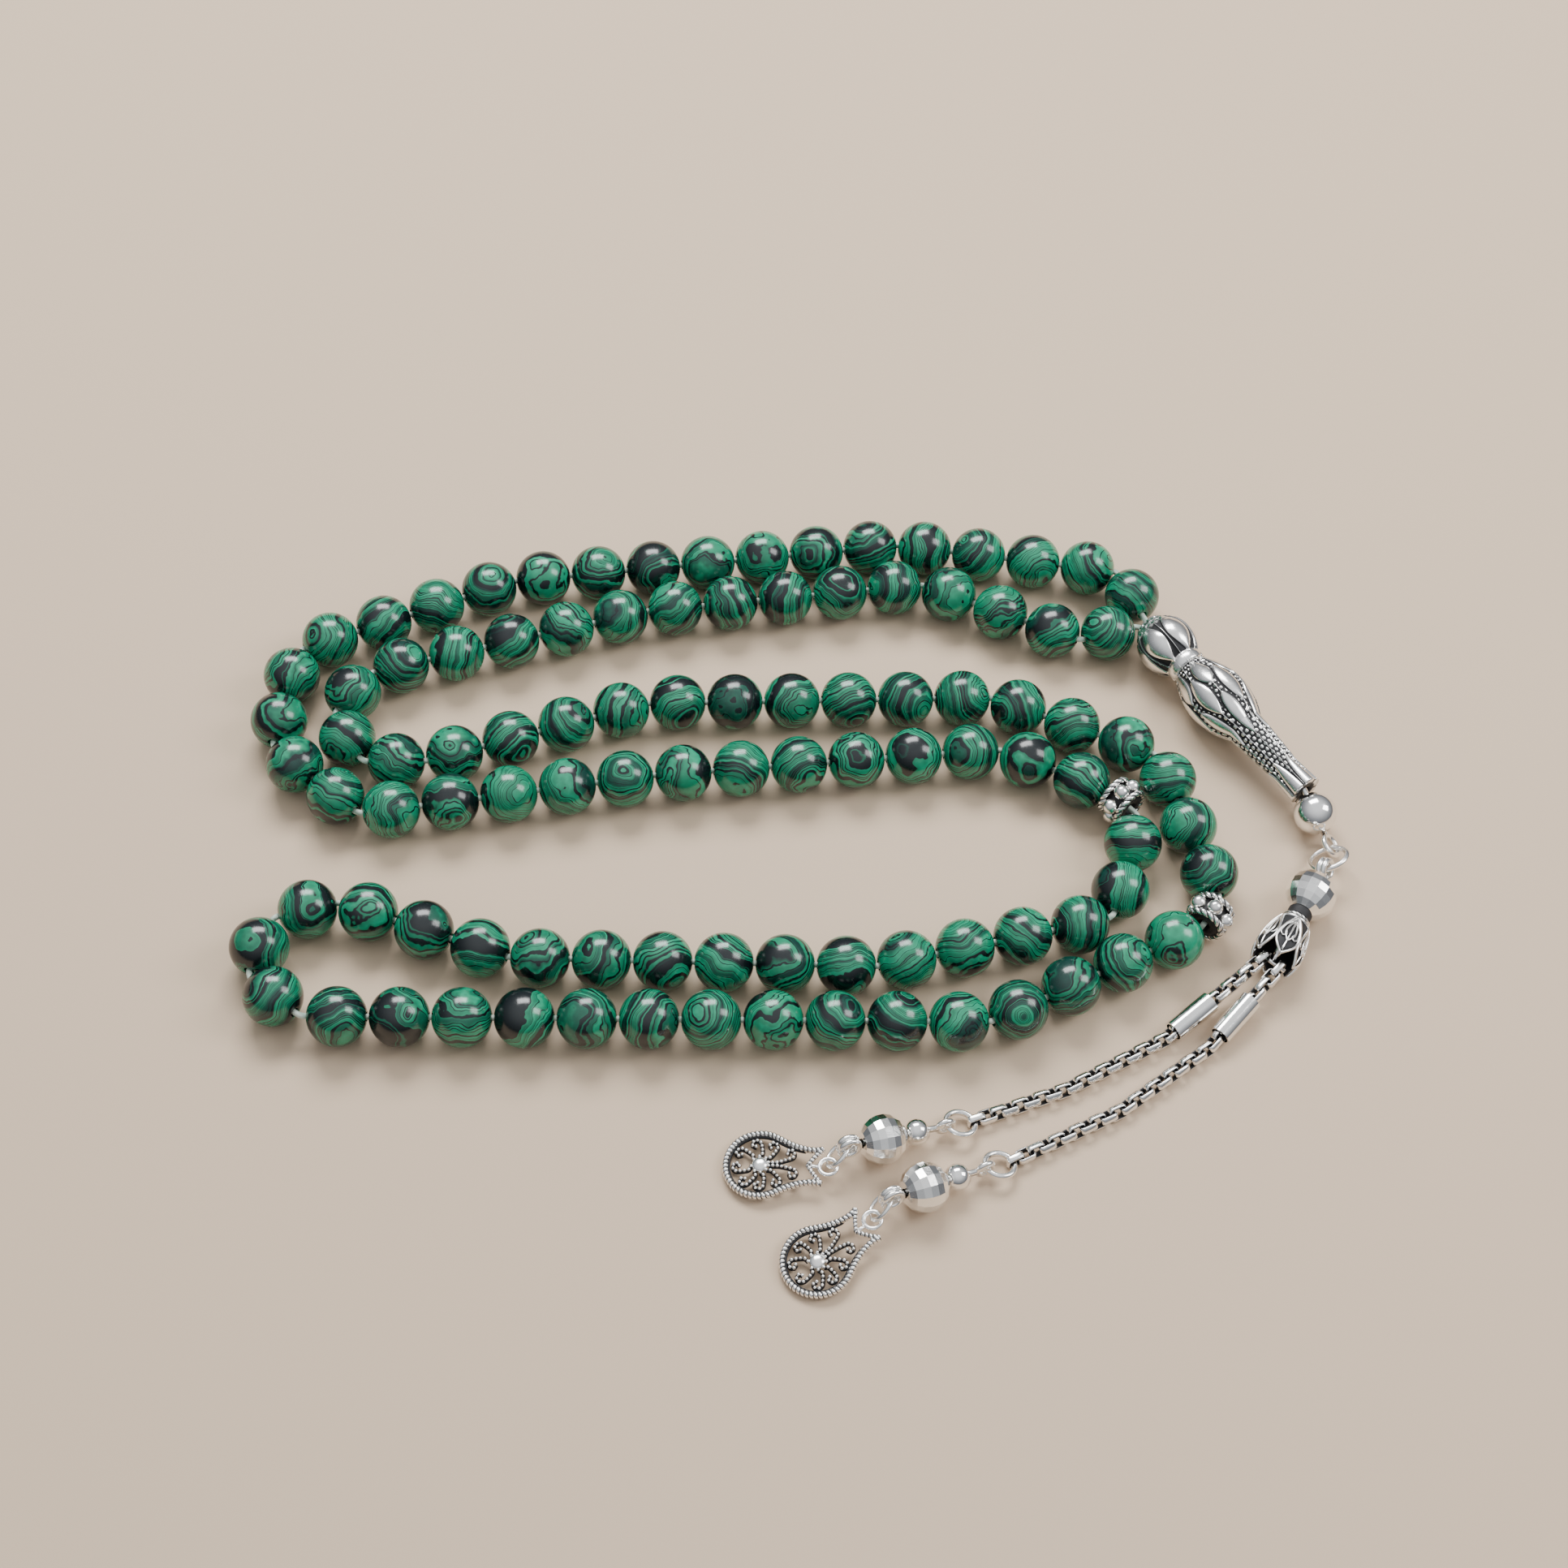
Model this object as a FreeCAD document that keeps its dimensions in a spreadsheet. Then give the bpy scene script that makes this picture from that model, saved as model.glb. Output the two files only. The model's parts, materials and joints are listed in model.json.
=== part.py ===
# Misbaha prayer beads: 99 round beads and two dividers on one thread, closed by an imame
# whose tassel of rings, capped chains, beads and openwork charms lies beside the strand.
# Millimetres, +Z up. The beads rest on z = 0 and the origin is under the middle of the whole.

import FreeCAD, Part
import Sketcher
import functools
import math
import os
import re
from FreeCAD import Placement, Rotation, Vector

document = FreeCAD.newDocument("misbaha")
dims = document.addObject("Spreadsheet::Sheet", "dims")

sizes = {
    # strand
    "bead_diameter": 8.0, "bead_bore": 1.3, "bead_gap": 0.15,
    "thread_diameter": 0.8, "bend_entry": 0.5, "knot_diameter": 3.0, "knot_depth": 5.0,
    "divider_width": 4.1, "divider_diameter": 7.2, "divider_hub": 4.6, "divider_bore": 2.0,
    "grain_diameter": 2.2, "rope_diameter": 1.1,
    # imame
    "imame_length": 35.2, "head_length": 8.0, "head_diameter": 8.7, "lip_width": 0.5,
    "collar_length": 1.6, "collar_diameter": 5.8, "waist_diameter": 5.2,
    "body_length": 12.4, "body_diameter": 9.2, "neck_diameter": 5.8,
    "throat_diameter": 4.4, "rim_length": 4.2, "rim_diameter": 4.9,
    "mouth_bore": 3.2, "head_hollow": 5.6, "through_bore": 1.8,
    "end_wall": 0.8, "end_bore": 1.5, "end_hollow": 3.1, "end_hollow_length": 3.4,
    "mouth_setback": 1.2, "thread_spread": 0.5,
    # wire, pins and rings
    "wire_diameter": 0.8, "pin_diameter": 0.9, "pin_bore": 1.3, "fit_gap": 0.15,
    "link_play": 0.1, "jump_play": 0.4, "stopper_diameter": 1.6, "stopper_setback": 1.5,
    "ball_diameter": 6.0, "ball_setback": 3.9, "eye_ring": 3.0, "jump_ring": 5.3,
    # head of the tassel
    "double_loop": 2.6, "tassel_bead_diameter": 7.1, "tassel_bead_length": 6.3,
    "spacer_diameter": 3.4, "spacer_length": 1.2, "cap_length": 8.2, "cap_neck": 3.6,
    "cap_mouth": 6.0, "cap_rise": 0.7, "cap_wall": 0.35, "cap_floor": 0.8,
    "crossbar_diameter": 0.56, "crossbar_length": 4.1, "crossbar_inset": 0.2, "crossbar_neck": 1.5,
    # chains and sleeves
    "link_length": 2.55, "link_width": 2.0, "link_band": 0.4,
    "link_height": 0.8, "chain_spread": 1.25,
    "sleeve_diameter": 3.0, "sleeve_bore": 2.5, "sleeve_length": 6.7,
    # drops
    "end_ring": 3.9, "drop_eye": 2.3, "drop_neck": 0.7, "small_ball": 3.5,
    "drop_bead_diameter": 6.5, "drop_bead_length": 5.7, "oval_ring": 4.0, "oval_wire": 0.64,
    "charm_eye": 2.3, "charm_wire": 0.62, "charm_body": 9.8, "charm_reach": 8.8,
    "charm_depth": 1.2, "charm_rim": 0.8, "charm_notch": 2.3, "charm_tip": 0.4,
    "charm_crown": 5.5, "charm_boss": 3.0, "charm_spoke": 0.6,
}
for row, (alias, value) in enumerate(sizes.items(), start=1):
    dims.set(f"A{row}", alias)
    dims.set(f"B{row}", str(value))
    dims.setAlias(f"B{row}", alias)
document.recompute()


# Helpers ------------------------------------------------------------------------------


def bound(formula):
    """Formula with the sheet's name before each alias."""
    return re.sub(r"[a-z_]+", lambda word: f"dims.{word[0]}" if word[0] in sizes else word[0], formula)


@functools.lru_cache(maxsize=None)
def worth(formula):
    """Number that a formula of aliases gives, worked out in a spare cell of the sheet."""
    dims.set("D1", f"={formula}")
    dims.recompute()
    return float(dims.get("D1"))


def turned_by(yaw=0.0, pitch=0.0, roll=0.0):
    return Placement(Vector(), Rotation(yaw, pitch, roll))


def moved_by(x=0.0, y=0.0, z=0.0):
    return Placement(Vector(x, y, z), Rotation())


ALONG_X = Placement(Vector(), Rotation(Vector(0, 1, 0), 90))
ALONG_Y = Placement(Vector(), Rotation(Vector(1, 0, 0), -90))


def primitive(kind, name, place, **formulas):
    """A Part primitive whose sizes follow the sheet."""
    item = document.addObject(f"Part::{kind}", name)
    for prop, formula in formulas.items():
        item.setExpression(prop, bound(formula))
    item.Placement = place
    return item


def rod(name, start, end, diameter):
    """Round bar along X from one formula to another."""
    return primitive("Cylinder", name, moved_by(worth(start)).multiply(ALONG_X),
                     Radius=f"({diameter}) / 2", Height=f"({end}) - ({start})")


def ring(name, place, diameter, wire):
    """Wire ring round Z of its place."""
    return primitive("Torus", name, place, Radius1=f"({diameter}) / 2", Radius2=f"({wire}) / 2")


def fused(name, shapes):
    item = document.addObject("Part::MultiFuse", name)
    item.Shapes = shapes
    return item


def cut(name, base, tool):
    item = document.addObject("Part::Cut", name)
    item.Base = base
    item.Tool = tool
    return item


def bored(name, base, start, end, bore):
    """Piece with a round hole along X."""
    return cut(name, base, rod(f"{name}_bore", start, end, bore))


def origin_feature(body, role):
    return next(item for item in body.Origin.OriginFeatures if item.Role == role)


def new_body(name):
    body = document.addObject("PartDesign::Body", name)
    body.AllowCompound = True
    return body


def new_sketch(body, name, plane="XY_Plane"):
    sketch = body.newObject("Sketcher::SketchObject", name)
    sketch.AttachmentSupport = [(origin_feature(body, plane), "")]
    sketch.MapMode = "FlatFace"
    return sketch


def named(sketch, name, formula, *constraint):
    """Dimension whose value follows a formula."""
    index = sketch.addConstraint(Sketcher.Constraint(*constraint, worth(formula)))
    sketch.renameConstraint(index, name)
    sketch.setExpression(f"Constraints.{name}", bound(formula))


def outline(sketch, corners, arcs=None, tag="p"):
    """Closed outline: corners are (x, y) formulas, arcs give (radius, side) of an edge.

    Side 1 bulges to the left of the way from one corner to the next, and -1 to the right.
    """
    arcs = arcs or {}
    points = [Vector(worth(x), worth(y), 0) for x, y in corners]
    starts, ends = [], []
    for i, point in enumerate(points):
        following = points[(i + 1) % len(points)]
        if i not in arcs:
            edge = sketch.addGeometry(Part.LineSegment(point, following), False)
            starts.append((edge, 1))
            ends.append((edge, 2))
            continue
        formula, side = arcs[i]
        radius = worth(formula)
        chord = following - point
        left = Vector(-chord.y, chord.x, 0).normalize()
        sink = math.sqrt(radius ** 2 - chord.Length ** 2 / 4)
        centre = (point + following) * 0.5 - left * side * sink
        here = math.atan2(point.y - centre.y, point.x - centre.x)
        there = math.atan2(following.y - centre.y, following.x - centre.x)
        first, second = (there, here) if side == 1 else (here, there)
        circle = Part.Circle(centre, Vector(0, 0, 1), radius)
        edge = sketch.addGeometry(Part.ArcOfCircle(circle, first, second), False)
        starts.append((edge, 2 if side == 1 else 1))
        ends.append((edge, 1 if side == 1 else 2))
    for i, (x, y) in enumerate(corners):
        sketch.addConstraint(Sketcher.Constraint("Coincident", *ends[i - 1], *starts[i]))
        for letter, kind, axis, formula in (("x", "DistanceX", -2, x), ("y", "DistanceY", -1, y)):
            if formula == "0":
                sketch.addConstraint(Sketcher.Constraint("PointOnObject", *starts[i], axis))
            else:
                named(sketch, f"{tag}{letter}{i}", formula, kind, -1, 1, *starts[i])
        if i in arcs:
            named(sketch, f"{tag}r{i}", arcs[i][0], "Radius", starts[i][0])


def revolved(name, corners, arcs=None):
    """Body turned round X from an outline above the axis."""
    body = new_body(name)
    sketch = new_sketch(body, f"{name}_profile")
    outline(sketch, corners, arcs)
    turn = body.newObject("PartDesign::Revolution", f"{name}_turn")
    turn.Profile = sketch
    turn.ReferenceAxis = (sketch, ["H_Axis"])
    turn.Angle = 360
    body.Tip = turn
    return body


def patterned(body, feature, count, spacing, name):
    """Copies of a feature along X."""
    document.recompute()
    copies = body.newObject("PartDesign::LinearPattern", name)
    copies.Originals = [feature]
    copies.Direction = (origin_feature(body, "X_Axis"), [""])
    copies.Occurrences = count
    copies.setExpression("Length", bound(f"{count - 1} * ({spacing})"))
    body.Tip = copies


def arch(chord, rise):
    """Radius of the arc over a chord."""
    return f"((({chord}) / 2) ^ 2 + ({rise}) ^ 2) / (2 * ({rise}))"


def direction(heading):
    return Vector(math.cos(math.radians(heading)), math.sin(math.radians(heading)), 0)


def rise_between(low, high, length):
    """Degrees that a bar rises from one height to another."""
    return math.degrees(math.asin((high - low) / length))


pieces = {}
joints = {}


def keep(label, item, place, joint=None):
    """List a finished piece at its place, with the point and axis that it turns or slides on."""
    item.Label = label
    pieces[label] = (item, place)
    joints[label] = joint or (place.Base, place.Rotation.multVec(Vector(1, 0, 0)))


# Strand -------------------------------------------------------------------------------

# Straight runs of the strand from the imame round to the imame: beads in the run and its
# heading in degrees, with 0 beads for a divider. The two runs of one bead between the lists
# close the loop, and take their headings from where the lists end.
OUTWARD = [(1, 111), (4, 175), (7, -169), (4, -153), (2, -94), (2, -38), (5, 13), (6, 9), (2, -22),
           (0, -45), (2, -104), (4, -163), (6, -178), (3, 163), (1, -161)]
HOMEWARD = [(11, 3), (4, 30), (0, 58), (3, 108), (3, 160), (6, -175), (4, -158), (1, -175),
            (1, 124), (1, 61), (5, 20), (5, 11), (3, -21), (1, 22)]
IMAME_HEADING = -53.5
CLOSING_SHARE = 0.59

pitch = worth("bead_diameter + bead_gap")
bead_radius = worth("bead_diameter / 2")
closing_reach = CLOSING_SHARE * pitch
mouth_reach = worth("0.65 * bead_diameter")


def turn_between(before, after):
    return abs((after - before + 180) % 360 - 180)


def bead_reach(turn):
    """From the middle of a run's last bead to the corner after it."""
    return pitch / 2 / math.cos(math.radians(turn) / 2)


def divider_reach(turn):
    """From the middle of a divider to the corner beside it, with its rope clear of the bead."""
    reach = bead_reach(turn)
    across = worth("(divider_hub + rope_diameter / 2) / 2") - reach * math.sin(math.radians(turn))
    clear = math.sqrt((bead_radius + worth("rope_diameter / 2 + bead_gap")) ** 2 - across ** 2)
    return clear - reach * math.cos(math.radians(turn)) + worth("(divider_width - rope_diameter) / 2")


def walk(start, runs):
    """First and last middles of each run from the imame outwards, and the corners passed."""
    corner, stretches, corners = start, [], [start]
    before = None
    for i, (beads, heading) in enumerate(runs):
        reach = bead_reach if beads else divider_reach
        ahead = direction(heading)
        first = corner + ahead * (mouth_reach if before is None else reach(turn_between(before, heading)))
        last = first + ahead * pitch * max(beads - 1, 0)
        leaving = closing_reach
        if i + 1 < len(runs):
            leaving = reach(turn_between(heading, runs[i + 1][1]))
        corner = last + ahead * leaving
        stretches.append((first, last, beads))
        corners.append(corner)
        before = heading
    return stretches, corners


side_step = direction(IMAME_HEADING + 90) * worth("thread_spread")
strand_height = Vector(0, 0, bead_radius)
outward, out_corners = walk(strand_height + side_step, OUTWARD)
homeward, home_corners = walk(strand_height - side_step, [(n, h + 180) for n, h in reversed(HOMEWARD)])

# The last two beads stand on the two sides of a triangle over the gap that is left.
out_end, home_end = out_corners[-1], home_corners[-1]
gap = home_end - out_end
height = math.sqrt((2 * closing_reach) ** 2 - (gap.Length / 2) ** 2)
apex = (out_end + home_end) * 0.5 + Vector(gap.y, -gap.x, 0).normalize() * height
closing = [((start + end) * 0.5,) * 2 + (1,) for start, end in ((out_end, apex), (apex, home_end))]
homeward = [(last, first, beads) for first, last, beads in reversed(homeward)]
corners = out_corners + [apex] + home_corners[::-1]
runs = outward + closing + homeward
print("gap at the far end of the strand", round(gap.Length, 2), "of", round(4 * closing_reach, 2))


def bead_run(number, first, last, count):
    """Row of bored beads along X from the middle of its first one."""
    name = f"beads_{number:02d}"
    body = revolved(name, [("-sqrt((bead_diameter / 2) ^ 2 - (bead_bore / 2) ^ 2)", "bead_bore / 2"),
                           ("sqrt((bead_diameter / 2) ^ 2 - (bead_bore / 2) ^ 2)", "bead_bore / 2")],
                    {0: ("bead_diameter / 2", 1)})
    if count > 1:
        patterned(body, body.Tip, count, "bead_diameter + bead_gap", f"{name}_row")
    ahead = last - first if count > 1 else corners_ahead[number]
    keep(name, body, Placement(first, Rotation(Vector(1, 0, 0), ahead)))


GRAINS = 6


def divider(number, place):
    """Hub with two rope rings round its ends and a ring of grains between them."""
    name = f"divider_{number}"
    half = "(divider_width - rope_diameter) / 2"
    shapes = [rod(f"{name}_hub", f"-{half}", half, "divider_hub")]
    for side in (-1, 1):
        place_of_rope = moved_by(side * worth(half)).multiply(ALONG_X)
        shapes.append(ring(f"{name}_rope", place_of_rope, "divider_hub + rope_diameter / 2", "rope_diameter"))
    for step in range(GRAINS):
        out = Vector(0, 0, worth("(divider_diameter - grain_diameter) / 2"))
        at = Rotation(Vector(1, 0, 0), 360 / GRAINS * step).multVec(out)
        shapes.append(primitive("Sphere", f"{name}_grain", moved_by(*at), Radius="grain_diameter / 2"))
    whole = fused(f"{name}_body", shapes)
    keep(name, bored(name, whole, "-divider_width", "divider_width", "divider_bore"), place)


corners_ahead = {}
run_number = divider_number = 0
for i, (first, last, count) in enumerate(runs):
    ahead = corners[i + 1] - corners[i]
    if count:
        run_number += 1
        corners_ahead[run_number] = ahead
        bead_run(run_number, first, last, count)
    else:
        divider_number += 1
        divider(divider_number, Placement(first, Rotation(Vector(1, 0, 0), ahead)))


# Thread -------------------------------------------------------------------------------

imame_axis = direction(IMAME_HEADING)
imame_place = Placement(Vector(0, 0, worth("body_diameter / 2")) + imame_axis * worth("mouth_setback"),
                        Rotation(IMAME_HEADING, 0, 0))
knot_middle = strand_height + imame_axis * worth("mouth_setback + knot_depth")
route = [knot_middle + side_step] + corners + [knot_middle - side_step]
bore_end = math.sqrt(bead_radius ** 2 - worth("bead_bore / 2") ** 2)
edges, radii, here = [], [], route[0]
for before, corner, after in zip(route, route[1:], route[2:]):
    arriving, leaving = (corner - before).normalize(), (after - corner).normalize()
    turn = arriving.getAngle(leaving)
    reach = bead_reach(math.degrees(turn))
    if corner in (route[1], route[-2]):
        reach = mouth_reach
    bend = reach - bore_end + worth("bend_entry")
    start, end = corner - arriving * bend, corner + leaving * bend
    radius = bend / math.tan(turn / 2)
    sag = (leaving - arriving).normalize() * (radius / math.cos(turn / 2) - radius)
    edges += [Part.LineSegment(here, start).toShape(), Part.Arc(start, corner + sag, end).toShape()]
    radii.append(radius)
    here = end
edges.append(Part.LineSegment(here, route[-1]).toShape())
path = Part.Wire(edges)
section = Part.Wire(Part.Circle(route[0], (route[1] - route[0]).normalize(), worth("thread_diameter / 2")).toShape())
cord = path.makePipeShell([section], True, False)
drawn = path.Length * math.pi * worth("thread_diameter / 2") ** 2
print("thread length", round(path.Length, 1), "least bend radius", round(min(radii), 2),
      "volume against length", round(cord.Volume / drawn, 4))
knot = Part.makeSphere(worth("knot_diameter / 2"), knot_middle)
thread = document.addObject("Part::Feature", "thread")
thread.Shape = cord.fuse(knot)
keep("thread", thread, Placement())


# Imame --------------------------------------------------------------------------------

hollow_start = "(knot_depth - sqrt((head_hollow / 2) ^ 2 - (mouth_bore / 2) ^ 2))"
hollow_end = "(knot_depth + sqrt((head_hollow / 2) ^ 2 - (through_bore / 2) ^ 2))"
body_start = "(head_length + collar_length)"
rim_start = "(imame_length - rim_length)"
inner_end = "(imame_length - end_wall)"
imame = revolved("imame", [
    ("0", "mouth_bore / 2"), ("0", "mouth_bore / 2 + lip_width"),
    ("head_length", "collar_diameter / 2"), (body_start, "collar_diameter / 2"),
    (body_start, "waist_diameter / 2"), (f"{body_start} + body_length", "neck_diameter / 2"),
    (rim_start, "throat_diameter / 2"), ("imame_length", "rim_diameter / 2"),
    ("imame_length", "end_bore / 2"), (inner_end, "end_bore / 2"),
    (inner_end, "end_hollow / 2"), (f"{inner_end} - end_hollow_length", "end_hollow / 2"),
    (f"{inner_end} - end_hollow_length", "through_bore / 2"), (hollow_end, "through_bore / 2"),
    (hollow_start, "mouth_bore / 2"),
], {
    1: (arch("head_length", "head_diameter / 2 - (mouth_bore + 2 * lip_width + collar_diameter) / 4"), 1),
    4: (arch("body_length", "body_diameter / 2 - (waist_diameter + neck_diameter) / 4"), 1),
    13: ("head_hollow / 2", -1),
})
keep("imame", imame, imame_place)


# Tassel frames ------------------------------------------------------------------------

# Headings and rises of the tassel's parts in degrees. A lean turns a ring about its own X.
PIN_HEADING, PIN_DROOP, EYE_LEAN = -64, 17, -40
JUMP_HEADING, JUMP_LEAN = -109, 32
HEAD_HEADING, HEAD_LOOP_LEAN, CROSSBAR_HEADING = -118, 28, -130
CHAINS = {
    "a": {"side": -1, "links": (12, 10, 9), "headings": (-138, -148, -156), "ring": -159,
          "sleeve_start": 10.2, "charm": 178, "slope": 9},
    "b": {"side": 1, "links": (10, 10, 11), "headings": (-130, -140, -150), "ring": -154,
          "sleeve_start": 6.3, "charm": -140, "slope": 9},
}
RING_LEAN = 10
LOOP_LEAN, OVAL_LEAN, OVAL_DROP, OVAL_BEARING = 8, 34, 44, 40
REST = 0.02

eye_centre = "(ball_setback + ball_diameter / 2 + fit_gap + (eye_ring + wire_diameter) / 2)"
jump_centre = "(jump_ring / 2 - wire_diameter - jump_play)"
bead_centre = "((double_loop + wire_diameter + tassel_bead_length) / 2 + fit_gap)"
spacer_start = f"({bead_centre} + tassel_bead_length / 2 + fit_gap)"
cap_start = f"({spacer_start} + spacer_length + fit_gap)"
crossbar_at = f"({cap_start} + cap_length - crossbar_inset)"
link_bar = "((link_length - link_band) / 2)"
link_pitch = "(link_length - 2 * link_band - 2 * link_play)"
first_link = "(link_length / 2 - link_band - crossbar_diameter / 2 - fit_gap)"
next_link = f"({link_pitch} - {link_bar})"
ring_in_link = "(link_length / 2 - link_band - wire_diameter / 2 - link_play)"
small_at = "(drop_eye + wire_diameter / 2 - wire_diameter - link_play + drop_neck + small_ball / 2)"
facet_at = f"({small_at} + small_ball / 2 + fit_gap + drop_bead_length / 2)"
drop_loop_at = f"({facet_at} + drop_bead_length / 2 + fit_gap + (wire_diameter + double_loop) / 2)"


def leaning(point, heading, rise=0.0, lean=0.0):
    """Frame at a point with X along a heading, rising, and rolled about X."""
    return Placement(point, Rotation(heading, -rise, lean))


def along(place, x, y=0.0):
    return place.multVec(Vector(x, y, 0))


def on_ring(place, centre, diameter, bearing=0.0):
    """Frame on a ring's wire, with X out from the ring's middle and Y along the wire."""
    return place.multiply(moved_by(centre)).multiply(turned_by(bearing)).multiply(moved_by(diameter / 2))


def lifting(wire, child):
    """Point and axis of a hinge on a wire, where a positive angle lifts the child."""
    axis = wire.Rotation.multVec(Vector(0, 1, 0))
    forward = child.Rotation.multVec(Vector(1, 0, 0))
    return child.Base, axis if axis.cross(forward).z > 0 else axis * -1


wire = worth("wire_diameter")


def lay_tassel(swing):
    """Frames and joint axes of the tassel, with all but the pin turned by an angle."""
    places, turns = {}, {}
    bar_height = worth("tassel_bead_diameter / 2")
    pin = leaning(along(imame_place, worth("imame_length - end_wall / 2")), PIN_HEADING, -PIN_DROOP)
    places["eye_pin"] = pin
    jump_wire = on_ring(pin.multiply(turned_by(roll=EYE_LEAN)), worth(eye_centre), worth("eye_ring"),
                        JUMP_HEADING - PIN_HEADING + swing)
    jump_far = worth(jump_centre) + worth("jump_ring / 2")
    jump = leaning(jump_wire.Base, JUMP_HEADING + swing,
                   rise_between(jump_wire.Base.z, bar_height, jump_far), JUMP_LEAN)
    places["jump_ring"], turns["jump_ring"] = jump, lifting(jump_wire, jump)
    head_wire = on_ring(jump, worth(jump_centre), worth("jump_ring"))
    head = leaning(head_wire.Base, HEAD_HEADING + swing)
    places["head_pin"], turns["head_pin"] = head, lifting(head_wire, head)
    bar = leaning(along(head, worth(crossbar_at)), CROSSBAR_HEADING + swing)
    low = worth("link_width / 2") + REST
    for tag, chain in CHAINS.items():
        at, wire_frame, start = along(bar, 0, chain["side"] * worth("chain_spread")), bar, worth(first_link)
        for part, (links, heading) in enumerate(zip(chain["links"], chain["headings"]), start=1):
            length = start + (links - 1) * worth(link_pitch) + worth(link_bar)
            rise = rise_between(at.z, low, length)
            if part == 1:
                sleeve_end = chain["sleeve_start"] + worth("sleeve_length")
                rise = max(rise, rise_between(at.z, worth("sleeve_diameter / 2") + REST, sleeve_end))
            segment = leaning(at, heading + swing, rise)
            places[f"chain_{tag}{part}"], turns[f"chain_{tag}{part}"] = segment, lifting(wire_frame, segment)
            at, wire_frame, start = along(segment, length), segment, worth(next_link)
        at = along(segment, length - worth(link_bar) + worth(ring_in_link))
        slope = chain["slope"]
        eye_height = worth("drop_bead_diameter / 2") - worth(facet_at) * math.sin(math.radians(slope)) + REST
        far = worth("end_ring")
        end = leaning(at, chain["ring"] + swing, rise_between(at.z, eye_height, far), RING_LEAN)
        places[f"end_ring_{tag}"], turns[f"end_ring_{tag}"] = end, lifting(segment, end)
        drop_wire = on_ring(end, worth("end_ring / 2"), worth("end_ring"))
        drop = leaning(drop_wire.Base, chain["ring"] + swing, slope)
        places[f"drop_pin_{tag}"], turns[f"drop_pin_{tag}"] = drop, lifting(drop_wire, drop)
        loop = drop.multiply(moved_by(worth(drop_loop_at))).multiply(turned_by(roll=LOOP_LEAN))
        oval = leaning(loop.Base, chain["ring"] + swing, -OVAL_DROP, OVAL_LEAN)
        places[f"oval_ring_{tag}"], turns[f"oval_ring_{tag}"] = oval, lifting(loop, oval)
        charm_wire = on_ring(oval, worth("oval_ring / 2"), worth("oval_ring"), OVAL_BEARING)
        far = worth("charm_reach + charm_body / 2")
        charm = leaning(charm_wire.Base, chain["charm"] + swing,
                        rise_between(charm_wire.Base.z, worth("charm_depth / 2") + REST, far))
        places[f"charm_{tag}"], turns[f"charm_{tag}"] = charm, lifting(charm_wire, charm)
    return places, turns


beads = [first + (last - first) * (k / max(count - 1, 1))
         for first, last, count in runs for k in range(max(count, 1))]


def clear_of_beads(places):
    """Whether every frame of the tassel and the middle of every reach stands off the beads."""
    points = [place.Base for name, place in places.items() if name != "eye_pin"]
    points += [(a + b) * 0.5 for a, b in zip(points, points[1:])]
    off = bead_radius + worth("drop_bead_diameter / 2 + bead_gap")
    return all(math.hypot(p.x - b.x, p.y - b.y) > off for p in points for b in beads)


swing = next(angle for angle in range(0, 90, 5) if clear_of_beads(lay_tassel(angle)[0]))
places, turns = lay_tassel(swing)
print("tassel turned away from the strand by", swing)


# Pin, ball and rings ------------------------------------------------------------------


def bead_on_pin(name, pin, middle, item):
    """Turned bead that spins on a pin."""
    keep(name, item, places[pin].multiply(moved_by(worth(middle))))


def ball(name, diameter):
    sphere = primitive("Sphere", f"{name}_ball", Placement(), Radius=f"{diameter} / 2")
    return bored(name, sphere, f"-{diameter}", diameter, "pin_bore")


def faceted(name, diameter, length):
    """Bead with a flat band and two cones."""
    return revolved(name, [
        (f"-{length} / 2", "pin_bore / 2"), (f"-{length} / 2", f"{diameter} * 0.31"),
        (f"-{length} * 0.2", f"{diameter} / 2"), (f"{length} * 0.2", f"{diameter} / 2"),
        (f"{length} / 2", f"{diameter} * 0.31"), (f"{length} / 2", "pin_bore / 2")])


def wire_ring(name, diameter, gauge, centre):
    """Ring whose wire passes near the origin of its frame."""
    place = places[name].multiply(moved_by(worth(centre)))
    keep(name, ring(name, place, diameter, gauge), place, turns[name])


def double_ring(name, x, lean=0.0):
    """Two turns of wire side by side, upright along X."""
    frame = moved_by(x).multiply(turned_by(roll=lean))
    return [ring(f"{name}_turn", frame.multiply(moved_by(y=side * wire * 0.47)).multiply(ALONG_Y),
                 "double_loop", "wire_diameter") for side in (-1, 1)]


keep("eye_pin", fused("eye_pin", [
    rod("eye_pin_shank", "-stopper_setback", f"{eye_centre} - eye_ring / 2", "pin_diameter"),
    primitive("Sphere", "eye_pin_stopper", moved_by(-worth("stopper_setback")), Radius="stopper_diameter / 2"),
    ring("eye_pin_eye", moved_by(worth(eye_centre)).multiply(turned_by(roll=EYE_LEAN)),
         "eye_ring", "wire_diameter"),
]), places["eye_pin"])
bead_on_pin("ball", "eye_pin", "ball_setback", ball("ball", "ball_diameter"))
wire_ring("jump_ring", "jump_ring", "wire_diameter", jump_centre)

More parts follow.
